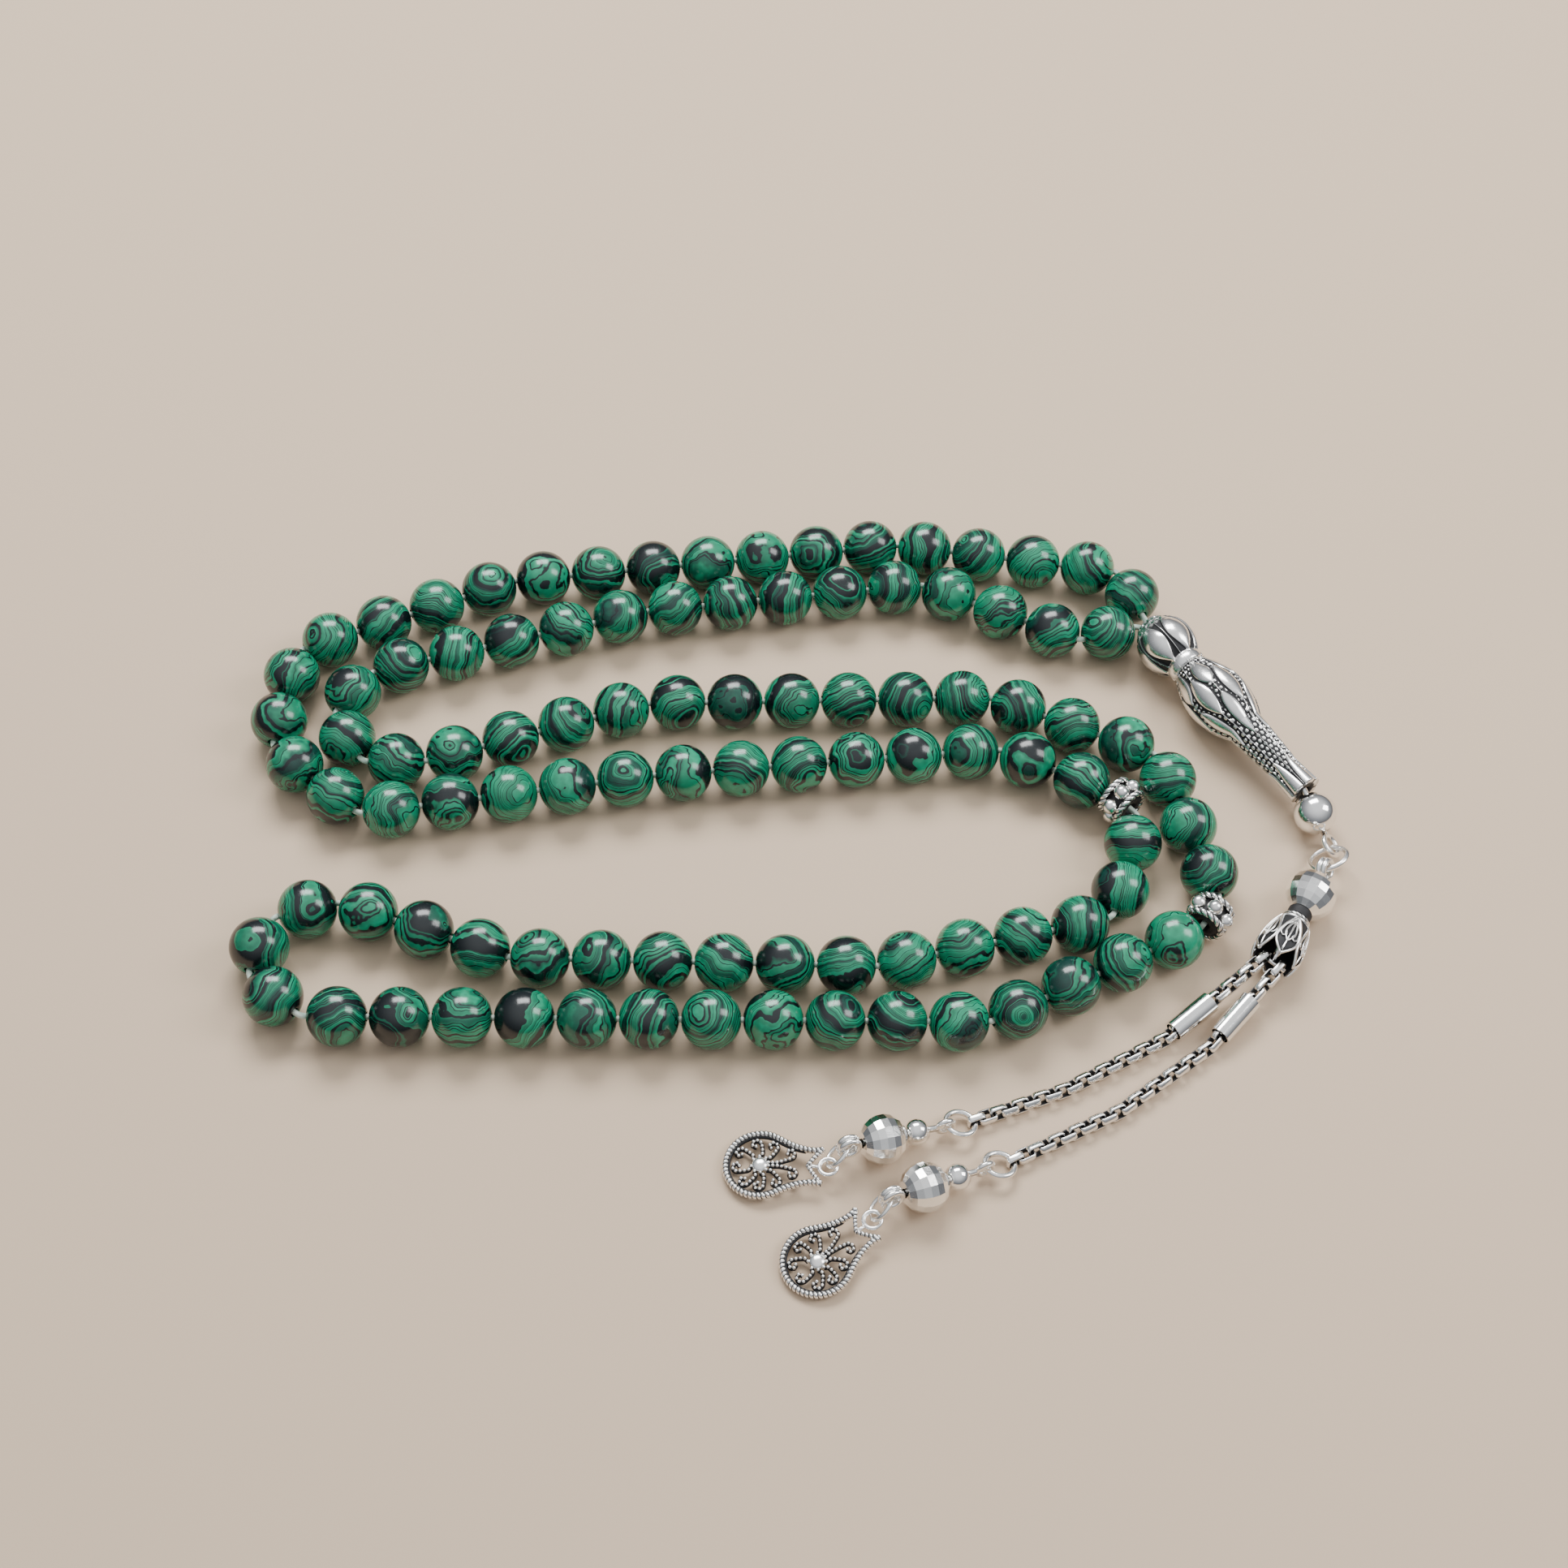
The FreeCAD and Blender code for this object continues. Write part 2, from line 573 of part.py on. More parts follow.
bar_frame = moved_by(worth(crossbar_at)).multiply(turned_by(CROSSBAR_HEADING - HEAD_HEADING))
crossbar = primitive("Cylinder", "crossbar",
                     bar_frame.multiply(moved_by(y=-worth("crossbar_length / 2"))).multiply(ALONG_Y),
                     Radius="crossbar_diameter / 2", Height="crossbar_length")
keep("head_pin", fused("head_pin", double_ring("head_pin", 0, HEAD_LOOP_LEAN) + [
    rod("head_pin_shank", "double_loop / 2 - 0.1",
        f"{crossbar_at} - crossbar_neck", "pin_diameter"),
    rod("head_pin_neck", f"{crossbar_at} - crossbar_neck - 0.1", crossbar_at, "crossbar_diameter"),
    crossbar]), places["head_pin"], turns["head_pin"])
bead_on_pin("tassel_bead", "head_pin", bead_centre,
            faceted("tassel_bead", "tassel_bead_diameter", "tassel_bead_length"))
spacer = rod("spacer_disc", "0", "spacer_length", "spacer_diameter")
bead_on_pin("spacer", "head_pin", spacer_start, bored("spacer", spacer, "-1", "spacer_length + 1", "pin_bore"))
cap = revolved("cap", [
    ("0", "pin_bore / 2"), ("0", "cap_neck / 2"), ("cap_length", "cap_mouth / 2"),
    ("cap_length", "cap_mouth / 2 - cap_wall"), ("cap_floor", "cap_neck / 2 - cap_wall"),
    ("cap_floor", "pin_bore / 2"),
], {1: (arch("cap_length", "cap_rise"), 1), 3: (arch("cap_length - cap_floor", "cap_rise"), -1)})
bead_on_pin("cap", "head_pin", cap_start, cap)


# Chains -------------------------------------------------------------------------------


def link_row(body, name, plane, start, count):
    """Every other link of a chain: square frames of flat band, flat or upright along X."""
    sketch = new_sketch(body, f"{name}_sketch", plane)
    for tag, inset in (("o", "0"), ("i", "link_band")):
        half, side = f"(link_length / 2 - {inset})", f"(link_width / 2 - {inset})"
        outline(sketch, [(f"{start} - {half}", f"-{side}"), (f"{start} + {half}", f"-{side}"),
                         (f"{start} + {half}", side), (f"{start} - {half}", side)], tag=tag)
    pad = body.newObject("PartDesign::Pad", name)
    pad.Profile = sketch
    pad.SideType = "Symmetric"
    pad.setExpression("Length", bound("link_height"))
    body.Tip = pad
    if count > 1:
        patterned(body, pad, count, f"2 * {link_pitch}", f"{name}_row")


for tag, chain in CHAINS.items():
    for part, links in enumerate(chain["links"], start=1):
        name = f"chain_{tag}{part}"
        start = first_link if part == 1 else next_link
        body = new_body(name)
        link_row(body, f"{name}_upright", "XZ_Plane", start, (links + 1) // 2)
        document.recompute()
        link_row(body, f"{name}_flat", "XY_Plane", f"({start} + {link_pitch})", links // 2)
        keep(name, body, places[name], turns[name])
    name = f"sleeve_{tag}"
    tube = bored(name, rod(f"{name}_tube", "0", "sleeve_length", "sleeve_diameter"),
                 "-1", "sleeve_length + 1", "sleeve_bore")
    keep(name, tube, places[f"chain_{tag}1"].multiply(moved_by(chain["sleeve_start"])))


# Drops --------------------------------------------------------------------------------


def charm(name):
    """Round openwork plate with two horns, spokes and a boss, hung from a small eye."""
    join_x, join_y = "(charm_reach - charm_body * 0.383)", "(charm_body * 0.3214)"
    far = "(charm_reach + charm_body / 2)"
    body = new_body(f"{name}_plate")
    sketch = new_sketch(body, f"{name}_outline")
    horn = arch(f"{join_x} - charm_tip", "charm_body * 0.07")
    outline(sketch, [(join_x, f"-{join_y}"), (far, "0"), (join_x, join_y), ("charm_tip", "charm_crown / 2"),
                     ("charm_notch", "0"), ("charm_tip", "-charm_crown / 2")],
            {0: ("charm_body / 2", -1), 1: ("charm_body / 2", -1), 2: (horn, 1), 5: (horn, 1)})
    opening = sketch.addGeometry(Part.Circle(Vector(worth("charm_reach"), 0, 0), Vector(0, 0, 1),
                                             worth("charm_body / 2 - charm_rim")), False)
    sketch.addConstraint(Sketcher.Constraint("PointOnObject", opening, 3, -1))
    named(sketch, "opening_x", "charm_reach", "DistanceX", -1, 1, opening, 3)
    named(sketch, "opening_radius", "charm_body / 2 - charm_rim", "Radius", opening)
    pad = body.newObject("PartDesign::Pad", f"{name}_pad")
    pad.Profile = sketch
    pad.SideType = "Symmetric"
    pad.setExpression("Length", bound("charm_depth"))
    body.Tip = pad
    middle = moved_by(worth("charm_reach"), z=-worth("charm_depth / 2"))
    shapes = [body, ring(f"{name}_eye", Placement(), "charm_eye", "charm_wire"),
              rod(f"{name}_stem", "charm_eye / 2", "charm_notch + charm_rim", "charm_wire"),
              primitive("Cylinder", f"{name}_boss", middle, Radius="charm_boss / 2", Height="charm_depth")]
    for step in range(3):
        bar = moved_by(worth("charm_reach")).multiply(turned_by(30 + 60 * step))
        bar = bar.multiply(moved_by(-worth("(charm_body - charm_rim) / 2"), -worth("charm_spoke / 2"),
                                    -worth("charm_spoke / 2")))
        shapes.append(primitive("Box", f"{name}_spoke", bar, Length="charm_body - charm_rim",
                                Width="charm_spoke", Height="charm_spoke"))
    keep(name, fused(name, shapes), places[name], turns[name])


for tag in CHAINS:
    wire_ring(f"end_ring_{tag}", "end_ring", "wire_diameter", "end_ring / 2")
    pin = f"drop_pin_{tag}"
    eye_frame = moved_by(worth("drop_eye / 2 - wire_diameter - link_play")).multiply(ALONG_Y)
    loops = double_ring(pin, worth(drop_loop_at), LOOP_LEAN)
    shank = rod(f"{pin}_shank", "drop_eye - wire_diameter - link_play - 0.1",
                f"{drop_loop_at} - double_loop / 2 + 0.1", "pin_diameter")
    keep(pin, fused(pin, [ring(f"{pin}_eye", eye_frame, "drop_eye", "wire_diameter"), shank] + loops),
         places[pin], turns[pin])
    bead_on_pin(f"small_ball_{tag}", pin, small_at, ball(f"small_ball_{tag}", "small_ball"))
    bead_on_pin(f"drop_bead_{tag}", pin, facet_at,
                faceted(f"drop_bead_{tag}", "drop_bead_diameter", "drop_bead_length"))
    wire_ring(f"oval_ring_{tag}", "oval_ring", "oval_wire", "oval_ring / 2")
    charm(f"charm_{tag}")


# Placing, checking and writing --------------------------------------------------------

document.recompute()
for item, place in pieces.values():
    item.Placement = place
document.recompute()
whole = FreeCAD.BoundBox()
for item, place in pieces.values():
    whole.add(item.Shape.optimalBoundingBox())
shift = moved_by(-whole.Center.x, -whole.Center.y, -whole.ZMin)
for item, place in pieces.values():
    item.Placement = shift.multiply(place)
document.recompute()
print("whole", round(whole.XLength, 2), round(whole.YLength, 2), round(whole.ZLength, 2),
      "moved by", [round(value, 3) for value in shift.Base])

for item in document.Objects:
    if "Invalid" in item.State or "Error" in item.State:
        raise RuntimeError(f"{item.Name} is {item.State}")
os.makedirs("parts", exist_ok=True)
for label, (item, place) in pieces.items():
    shape = item.Shape
    if shape.isNull() or not shape.isValid():
        raise RuntimeError(f"{label} has no valid shape")
    shape.exportStep(f"parts/{label}.step")
    point, axis = joints[label]
    point = shift.multVec(point)
    print(f"{label}: turns at {point.x:.2f} {point.y:.2f} {point.z:.2f} on {axis.x:.3f} {axis.y:.3f}"
          f" {axis.z:.3f}, {len(shape.Solids)} solids, {shape.Volume:.2f} mm3")
print(len(pieces), "pieces")
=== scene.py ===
import json
import math
import bmesh
import bpy
import numpy as np
from mathutils import Matrix, Vector


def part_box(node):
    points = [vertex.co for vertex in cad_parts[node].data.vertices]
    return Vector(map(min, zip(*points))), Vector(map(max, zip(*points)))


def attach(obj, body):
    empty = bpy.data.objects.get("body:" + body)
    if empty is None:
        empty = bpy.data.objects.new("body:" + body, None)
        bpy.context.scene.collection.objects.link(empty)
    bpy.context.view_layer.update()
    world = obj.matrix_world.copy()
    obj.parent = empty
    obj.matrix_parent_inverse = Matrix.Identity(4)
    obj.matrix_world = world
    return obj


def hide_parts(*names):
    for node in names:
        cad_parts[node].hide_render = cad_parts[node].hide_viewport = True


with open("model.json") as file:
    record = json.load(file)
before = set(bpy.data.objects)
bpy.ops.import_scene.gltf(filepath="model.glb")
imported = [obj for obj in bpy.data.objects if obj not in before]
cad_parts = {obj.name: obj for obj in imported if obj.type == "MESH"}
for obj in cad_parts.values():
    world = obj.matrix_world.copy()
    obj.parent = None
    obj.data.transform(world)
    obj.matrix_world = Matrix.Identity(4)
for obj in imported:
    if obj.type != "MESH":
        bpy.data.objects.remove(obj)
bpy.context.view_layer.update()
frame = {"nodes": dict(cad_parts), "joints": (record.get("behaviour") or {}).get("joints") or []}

# Misbaha prayer beads. Lengths below are in millimetres unless a name says otherwise;
# every mesh is scaled to metres as it is finished.
mm = 0.001
asMade = Matrix.Scale(1 / mm, 4)        # keeps a form in millimetres while it is still being placed
jointOf = {joint["child"]: joint for joint in frame["joints"]}


def pivotOf(name):
    return Vector(jointOf[name]["pos_m"]) / mm


def axisOf(name):
    return Vector(jointOf[name]["axis"]).normalized()


def placeAt(point, heading, rise=0.0, lean=0.0):
    # frame with X along a heading, rising, and rolled about X, in degrees
    turn = (Matrix.Rotation(math.radians(heading), 4, "Z") @ Matrix.Rotation(math.radians(-rise), 4, "Y")
            @ Matrix.Rotation(math.radians(lean), 4, "X"))
    return Matrix.Translation(point) @ turn


def ringAngles(count):
    return np.linspace(0, 2 * np.pi, count, endpoint=False)


def ringPath(along, out, count):
    # closed circle about X
    angle = ringAngles(count)
    return np.stack([np.full(count, along), out * np.cos(angle), out * np.sin(angle)], -1)


def alongAxis(point, axis, lean=0.0):
    # frame with X along a direction
    heading = math.degrees(math.atan2(axis.y, axis.x))
    rise = math.degrees(math.asin(max(-1.0, min(1.0, axis.z))))
    return placeAt(point, heading, rise, lean)


# ---- camera, floor and lights

camera = {"east": -1.55, "south": -201.37, "height": 303.26, "lookDown": 54.30, "roll": 3.08,
          "focal": 60.52, "sensor": 36.0}

cameraData = bpy.data.cameras.new("cameraMain")
cameraData.sensor_width = camera["sensor"]
cameraData.lens = camera["focal"]
cameraData.clip_start = 0.01
cameraObject = bpy.data.objects.new("cameraMain", cameraData)
bpy.context.scene.collection.objects.link(cameraObject)
cameraObject.matrix_world = (
    Matrix.Translation(Vector((camera["east"], camera["south"], camera["height"])) * mm)
    @ Matrix.Rotation(math.radians(90 - camera["lookDown"]), 4, "X")
    @ Matrix.Rotation(math.radians(camera["roll"]), 4, "Z"))
bpy.context.scene.camera = cameraObject

floor = {"half": 3000.0, "color": (0.62, 0.47, 0.335), "roughness": 0.75}


def makeFloor():
    mesh = bpy.data.meshes.new("floorPlane")
    h = floor["half"] * mm
    mesh.from_pydata([(-h, -h, 0), (h, -h, 0), (h, h, 0), (-h, h, 0)], [], [(0, 1, 2, 3)])
    ground = bpy.data.objects.new("floorPlane", mesh)
    bpy.context.scene.collection.objects.link(ground)
    material = bpy.data.materials.new("floorPale")
    material.use_nodes = True
    shader = material.node_tree.nodes["Principled BSDF"]
    shader.inputs["Base Color"].default_value = (*floor["color"], 1)
    shader.inputs["Roughness"].default_value = floor["roughness"]
    mesh.materials.append(material)


lights = {
    "softboxNorth": {"at": (-90, 430, 560), "size": (460, 260), "watts": 6.0},
    "windowRight": {"at": (480, 60, 460), "size": (240, 320), "watts": 2.2},
}
skyLight = {"horizon": (0.14, 0.15, 0.17), "middle": (0.46, 0.48, 0.51), "top": (1.22, 1.25, 1.29),
            "strength": 0.85}


def makeLights():
    for name, spec in lights.items():
        data = bpy.data.lights.new(name, "AREA")
        data.shape = "RECTANGLE"
        data.size, data.size_y = (side * mm for side in spec["size"])
        data.energy = spec["watts"]
        lamp = bpy.data.objects.new(name, data)
        bpy.context.scene.collection.objects.link(lamp)
        at = Vector(spec["at"]) * mm
        lamp.matrix_world = Matrix.Translation(at) @ (-at).to_track_quat("-Z", "Y").to_matrix().to_4x4()
    world = bpy.data.worlds.new("studioSky")
    world.use_nodes = True
    tree = world.node_tree
    sky = tree.nodes["Background"]
    height = addNode(tree, "ShaderNodeSeparateXYZ",
                     {0: addNode(tree, "ShaderNodeTexCoord").outputs["Generated"]}).outputs[2]
    shade = ramp(tree, height, [(0.05, skyLight["horizon"]), (0.45, skyLight["middle"]),
                                (0.95, skyLight["top"])])
    tree.links.new(shade, sky.inputs["Color"])
    sky.inputs["Strength"].default_value = skyLight["strength"]
    bpy.context.scene.world = world


# ---- node helpers

def addNode(tree, kind, links=None, **settings):
    # a node with its sockets set or linked by name or number
    node = tree.nodes.new(kind)
    for key, value in settings.items():
        setattr(node, key, value)
    for socket, value in (links or {}).items():
        target = node.inputs[socket]
        if isinstance(value, bpy.types.NodeSocket):
            tree.links.new(value, target)
        else:
            target.default_value = value
    return node


def mathNode(tree, operation, first, second=0.0, third=0.0):
    node = addNode(tree, "ShaderNodeMath", {0: first, 1: second, 2: third}, operation=operation)
    return node.outputs[0]


def ramp(tree, factor, stops, interpolation="LINEAR"):
    node = addNode(tree, "ShaderNodeValToRGB", {0: factor})
    node.color_ramp.interpolation = interpolation
    elements = node.color_ramp.elements
    while len(elements) < len(stops):
        elements.new(0.5)
    for element, (position, color) in zip(elements, stops):
        element.position = position
        element.color = (*color, 1)
    return node.outputs[0]


def mapRange(tree, value, low, high, toLow=0.0, toHigh=1.0, smooth=False):
    node = addNode(tree, "ShaderNodeMapRange", {0: value, 1: low, 2: high, 3: toLow, 4: toHigh},
                   interpolation_type="SMOOTHSTEP" if smooth else "LINEAR")
    return node.outputs[0]


def mixColor(tree, factor, first, second):
    node = addNode(tree, "ShaderNodeMix", data_type="RGBA")
    for socket, value in ((0, factor), (6, first), (7, second)):
        if isinstance(value, bpy.types.NodeSocket):
            tree.links.new(value, node.inputs[socket])
        else:
            node.inputs[socket].default_value = value if socket == 0 else (*value, 1)
    return node.outputs[2]


def newMaterial(name):
    material = bpy.data.materials.new(name)
    material.use_nodes = True
    return material, material.node_tree, material.node_tree.nodes["Principled BSDF"]


makeFloor()
makeLights()
print("camera, floor and lights set")


# ---- malachite

stone = {
    "warpScale": 0.20, "warp": 3.0, "rippleScale": 0.75, "ripple": 0.45,
    "bandRate": 0.85, "lineRate": 2.0, "lineWidth": 0.062,
    "deep": (0.0015, 0.036, 0.027), "mid": (0.0022, 0.104, 0.059),
    "bright": (0.0034, 0.212, 0.104), "pale": (0.008, 0.300, 0.158), "black": (0.0019, 0.0058, 0.0072),
    "roughness": 0.19,
}


def malachite():
    # shells of green round a middle that differs from bead to bead, with thin black seams
    material, tree, shader = newMaterial("malachite")
    coord = addNode(tree, "ShaderNodeAttribute", attribute_name="stoneCoord").outputs["Vector"]
    seed = addNode(tree, "ShaderNodeAttribute", attribute_name="stoneSeed").outputs["Fac"]
    seedStep = addNode(tree, "ShaderNodeCombineXYZ", {0: seed, 1: mathNode(tree, "MULTIPLY", seed, 1.7),
                                                      2: mathNode(tree, "MULTIPLY", seed, -0.6)}).outputs[0]
    place = addNode(tree, "ShaderNodeVectorMath", {0: coord, 1: seedStep}, operation="ADD").outputs[0]
    warped = coord
    for scale, amount in ((stone["warpScale"], stone["warp"]), (stone["rippleScale"], stone["ripple"])):
        noise = addNode(tree, "ShaderNodeTexNoise", {"Vector": place, "Scale": scale, "Detail": 1.0})
        centred = addNode(tree, "ShaderNodeVectorMath", {0: noise.outputs["Color"], 1: (0.5, 0.5, 0.5)},
                          operation="SUBTRACT").outputs[0]
        scaled = addNode(tree, "ShaderNodeVectorMath", {0: centred, "Scale": amount},
                         operation="SCALE").outputs[0]
        warped = addNode(tree, "ShaderNodeVectorMath", {0: warped, 1: scaled}, operation="ADD").outputs[0]
    depth = addNode(tree, "ShaderNodeVectorMath", {0: warped}, operation="LENGTH").outputs["Value"]

    def bandNoise(rate, offset, detail):
        along = mathNode(tree, "MULTIPLY_ADD", depth, rate, mathNode(tree, "ADD", seed, offset))
        return addNode(tree, "ShaderNodeTexNoise", {"W": along, "Scale": 1.0, "Detail": detail},
                       noise_dimensions="1D").outputs["Fac"]

    tone = bandNoise(stone["bandRate"], 3.0, 1.5)
    green = ramp(tree, tone, [(0.28, stone["deep"]), (0.40, stone["mid"]), (0.48, stone["bright"]),
                              (0.55, stone["pale"]), (0.62, stone["bright"]), (0.74, stone["mid"])])
    seam = bandNoise(stone["lineRate"], 41.0, 0.0)
    thin = mathNode(tree, "ABSOLUTE", mathNode(tree, "SUBTRACT", seam, 0.5))
    line = mapRange(tree, thin, stone["lineWidth"] * 0.5, stone["lineWidth"], 1.0, 0.0, smooth=True)
    broad = mapRange(tree, bandNoise(stone["bandRate"] * 0.8, 90.0, 1.0), 0.66, 0.69, smooth=True)
    dark = mathNode(tree, "MAXIMUM", line, broad)
    cloud = addNode(tree, "ShaderNodeTexNoise", {"Vector": place, "Scale": 0.9, "Detail": 3.0}).outputs["Fac"]
    shade = mapRange(tree, cloud, 0.3, 0.7, 0.78, 1.12)
    clouded = addNode(tree, "ShaderNodeVectorMath", {0: green, "Scale": shade}, operation="SCALE").outputs[0]
    tree.links.new(mixColor(tree, dark, clouded, stone["black"]), shader.inputs["Base Color"])
    grit = addNode(tree, "ShaderNodeTexNoise", {"Vector": place, "Scale": 6.0, "Detail": 2.0}).outputs["Fac"]
    tree.links.new(mapRange(tree, grit, 0.3, 0.7, stone["roughness"] * 0.7, stone["roughness"] * 1.4),
                   shader.inputs["Roughness"])
    shader.inputs["IOR"].default_value = 1.6
    return material


# ---- silver and thread

def buildPatinaAndShade():
    # bright metal where it is rubbed, black in the recesses, partly sulphide and partly painted shade, fine
    # handling scratches
    group = bpy.data.node_groups.new("silverPatinaAndShade", "ShaderNodeTree")
    for name, kind, value in (("SulphideAndShade", "NodeSocketFloat", 0.0), ("Polish", "NodeSocketFloat", 0.12),
                              ("Tarnish", "NodeSocketFloat", 0.3), ("Grain", "NodeSocketFloat", 400.0)):
        group.interface.new_socket(name=name, in_out="INPUT", socket_type=kind).default_value = value
    for name, kind in (("Color", "NodeSocketColor"), ("Roughness", "NodeSocketFloat"),
                       ("Height", "NodeSocketFloat"), ("Metal", "NodeSocketFloat")):
        group.interface.new_socket(name=name, in_out="OUTPUT", socket_type=kind)
    given = group.nodes.new("NodeGroupInput").outputs
    result = group.nodes.new("NodeGroupOutput")
    coord = addNode(group, "ShaderNodeTexCoord").outputs["Object"]
    cloud = addNode(group, "ShaderNodeTexNoise", {"Vector": coord, "Scale": given["Grain"], "Detail": 4.0})
    fine = addNode(group, "ShaderNodeTexNoise", {"Vector": coord, "Scale": 5200.0, "Detail": 2.0})
    stretch = addNode(group, "ShaderNodeMapping", {"Vector": coord, "Rotation": (0.4, 0.3, 0.7),
                                                   "Scale": (1.0, 9.0, 9.0)}).outputs[0]
    scratch = addNode(group, "ShaderNodeTexNoise", {"Vector": stretch, "Scale": 900.0, "Detail": 3.0})
    uneven = mathNode(group, "MULTIPLY_ADD", cloud.outputs["Fac"], 0.30, -0.15)
    deep = mathNode(group, "ADD", given["SulphideAndShade"], uneven)
    # black where the darkening is high: sulphide and painted shade
    black = mapRange(group, deep, 0.30, 0.60, smooth=True)
    film = mathNode(group, "MULTIPLY", mapRange(group, cloud.outputs["Fac"], 0.45, 0.75), given["Tarnish"])
    metal = mixColor(group, film, (0.93, 0.92, 0.90), (0.66, 0.62, 0.56))
    group.links.new(mixColor(group, black, metal, (0.018, 0.018, 0.020)), result.inputs["Color"])
    marks = mapRange(group, scratch.outputs["Fac"], 0.35, 0.75, 0.0, 0.14)
    polished = mathNode(group, "ADD", given["Polish"], marks)
    rough = mathNode(group, "MULTIPLY_ADD", black, 0.35, polished)
    group.links.new(rough, result.inputs["Roughness"])
    height = mathNode(group, "MULTIPLY_ADD", scratch.outputs["Fac"], 0.6, fine.outputs["Fac"])
    group.links.new(height, result.inputs["Height"])
    group.links.new(mapRange(group, black, 0.0, 1.0, 1.0, 0.35), result.inputs["Metal"])
    return group


patinaAndShade = buildPatinaAndShade()


def silver(name, polish, tarnish, grain, bump, allDark=0.0):
    material, tree, shader = newMaterial(name)
    worn = tree.nodes.new("ShaderNodeGroup")
    worn.node_tree = patinaAndShade
    # darkening read from each piece: partly sulphide in hollows, partly painted shade
    sulphideAndShade = addNode(tree, "ShaderNodeAttribute", attribute_name="sulphideAndShade").outputs["Fac"]
    tree.links.new(mathNode(tree, "ADD", sulphideAndShade, allDark), worn.inputs["SulphideAndShade"])
    for socket, value in (("Polish", polish), ("Tarnish", tarnish), ("Grain", grain)):
        worn.inputs[socket].default_value = value
    for output, socket in (("Color", "Base Color"), ("Roughness", "Roughness"), ("Metal", "Metallic")):
        tree.links.new(worn.outputs[output], shader.inputs[socket])
    dents = addNode(tree, "ShaderNodeBump", {"Strength": bump, "Distance": 0.000006,
                                             "Height": worn.outputs["Height"]})
    tree.links.new(dents.outputs[0], shader.inputs["Normal"])
    return material


fibre = {"light": (0.62, 0.72, 0.62), "dark": (0.30, 0.42, 0.34), "fuzz": 5200.0,
         "strands": 330.0, "twist": 0.00012}


def cordFinish():
    # pale twisted thread with fine crossing fibres
    material, tree, shader = newMaterial("threadFibre")
    coord = addNode(tree, "ShaderNodeTexCoord").outputs["Object"]
    fuzz = addNode(tree, "ShaderNodeTexNoise", {"Vector": coord, "Scale": fibre["fuzz"], "Detail": 3.0})
    strands = addNode(tree, "ShaderNodeTexWave",
                      {"Vector": coord, "Scale": fibre["strands"], "Distortion": 2.5, "Detail": 2.0},
                      bands_direction="DIAGONAL")
    blend = mathNode(tree, "MULTIPLY_ADD", strands.outputs["Fac"], 0.65,
                     mathNode(tree, "MULTIPLY", fuzz.outputs["Fac"], 0.35))
    tree.links.new(ramp(tree, blend, [(0.15, fibre["dark"]), (0.75, fibre["light"])]),
                   shader.inputs["Base Color"])
    tree.links.new(mapRange(tree, fuzz.outputs["Fac"], 0.3, 0.7, 0.55, 0.85), shader.inputs["Roughness"])
    twist = addNode(tree, "ShaderNodeBump", {"Strength": 0.6, "Distance": fibre["twist"], "Height": blend})
    tree.links.new(twist.outputs[0], shader.inputs["Normal"])
    shader.inputs["Sheen Weight"].default_value = 0.3
    return material


finishes = {
    "malachite": malachite(),
    "polished": silver("polishedSilver", 0.07, 0.20, 260.0, 0.10),
    "wire": silver("wireSilver", 0.15, 0.35, 500.0, 0.25),
    "worked": silver("workedSilver", 0.16, 0.30, 700.0, 0.25),
    "blackened": silver("blackenedSilver", 0.22, 0.50, 500.0, 0.40, 0.95),
    "cord": cordFinish(),
}
print("finishes made")


# ---- mesh helpers, in millimetres

def gridFaces(rows, columns, closedRows=False, closedColumns=True):
    r, c = np.meshgrid(np.arange(rows if closedRows else rows - 1),
                       np.arange(columns if closedColumns else columns - 1), indexing="ij")
    nextR, nextC = (r + 1) % rows, (c + 1) % columns
    corners = (r * columns + c, r * columns + nextC, nextR * columns + nextC, nextR * columns + c)
    return np.stack(corners, -1).reshape(-1, 4).tolist()


def lathe(profile, sides, sulphideAndShade=0.0, turn=0.0):
    # closed outline of (along, out) points turned about X; the outer side runs towards +X
    profile = np.asarray(profile, float)
    angle = ringAngles(sides) + turn
    out = profile[:, 1, None]
    points = np.stack([np.broadcast_to(profile[:, 0, None], (len(profile), sides)),
                       out * np.cos(angle), out * np.sin(angle)], -1).reshape(-1, 3)
    tone = np.broadcast_to(np.reshape(sulphideAndShade, (-1, 1)), (len(profile), sides)).reshape(-1)
    return points, gridFaces(len(profile), sides, closedRows=True), tone


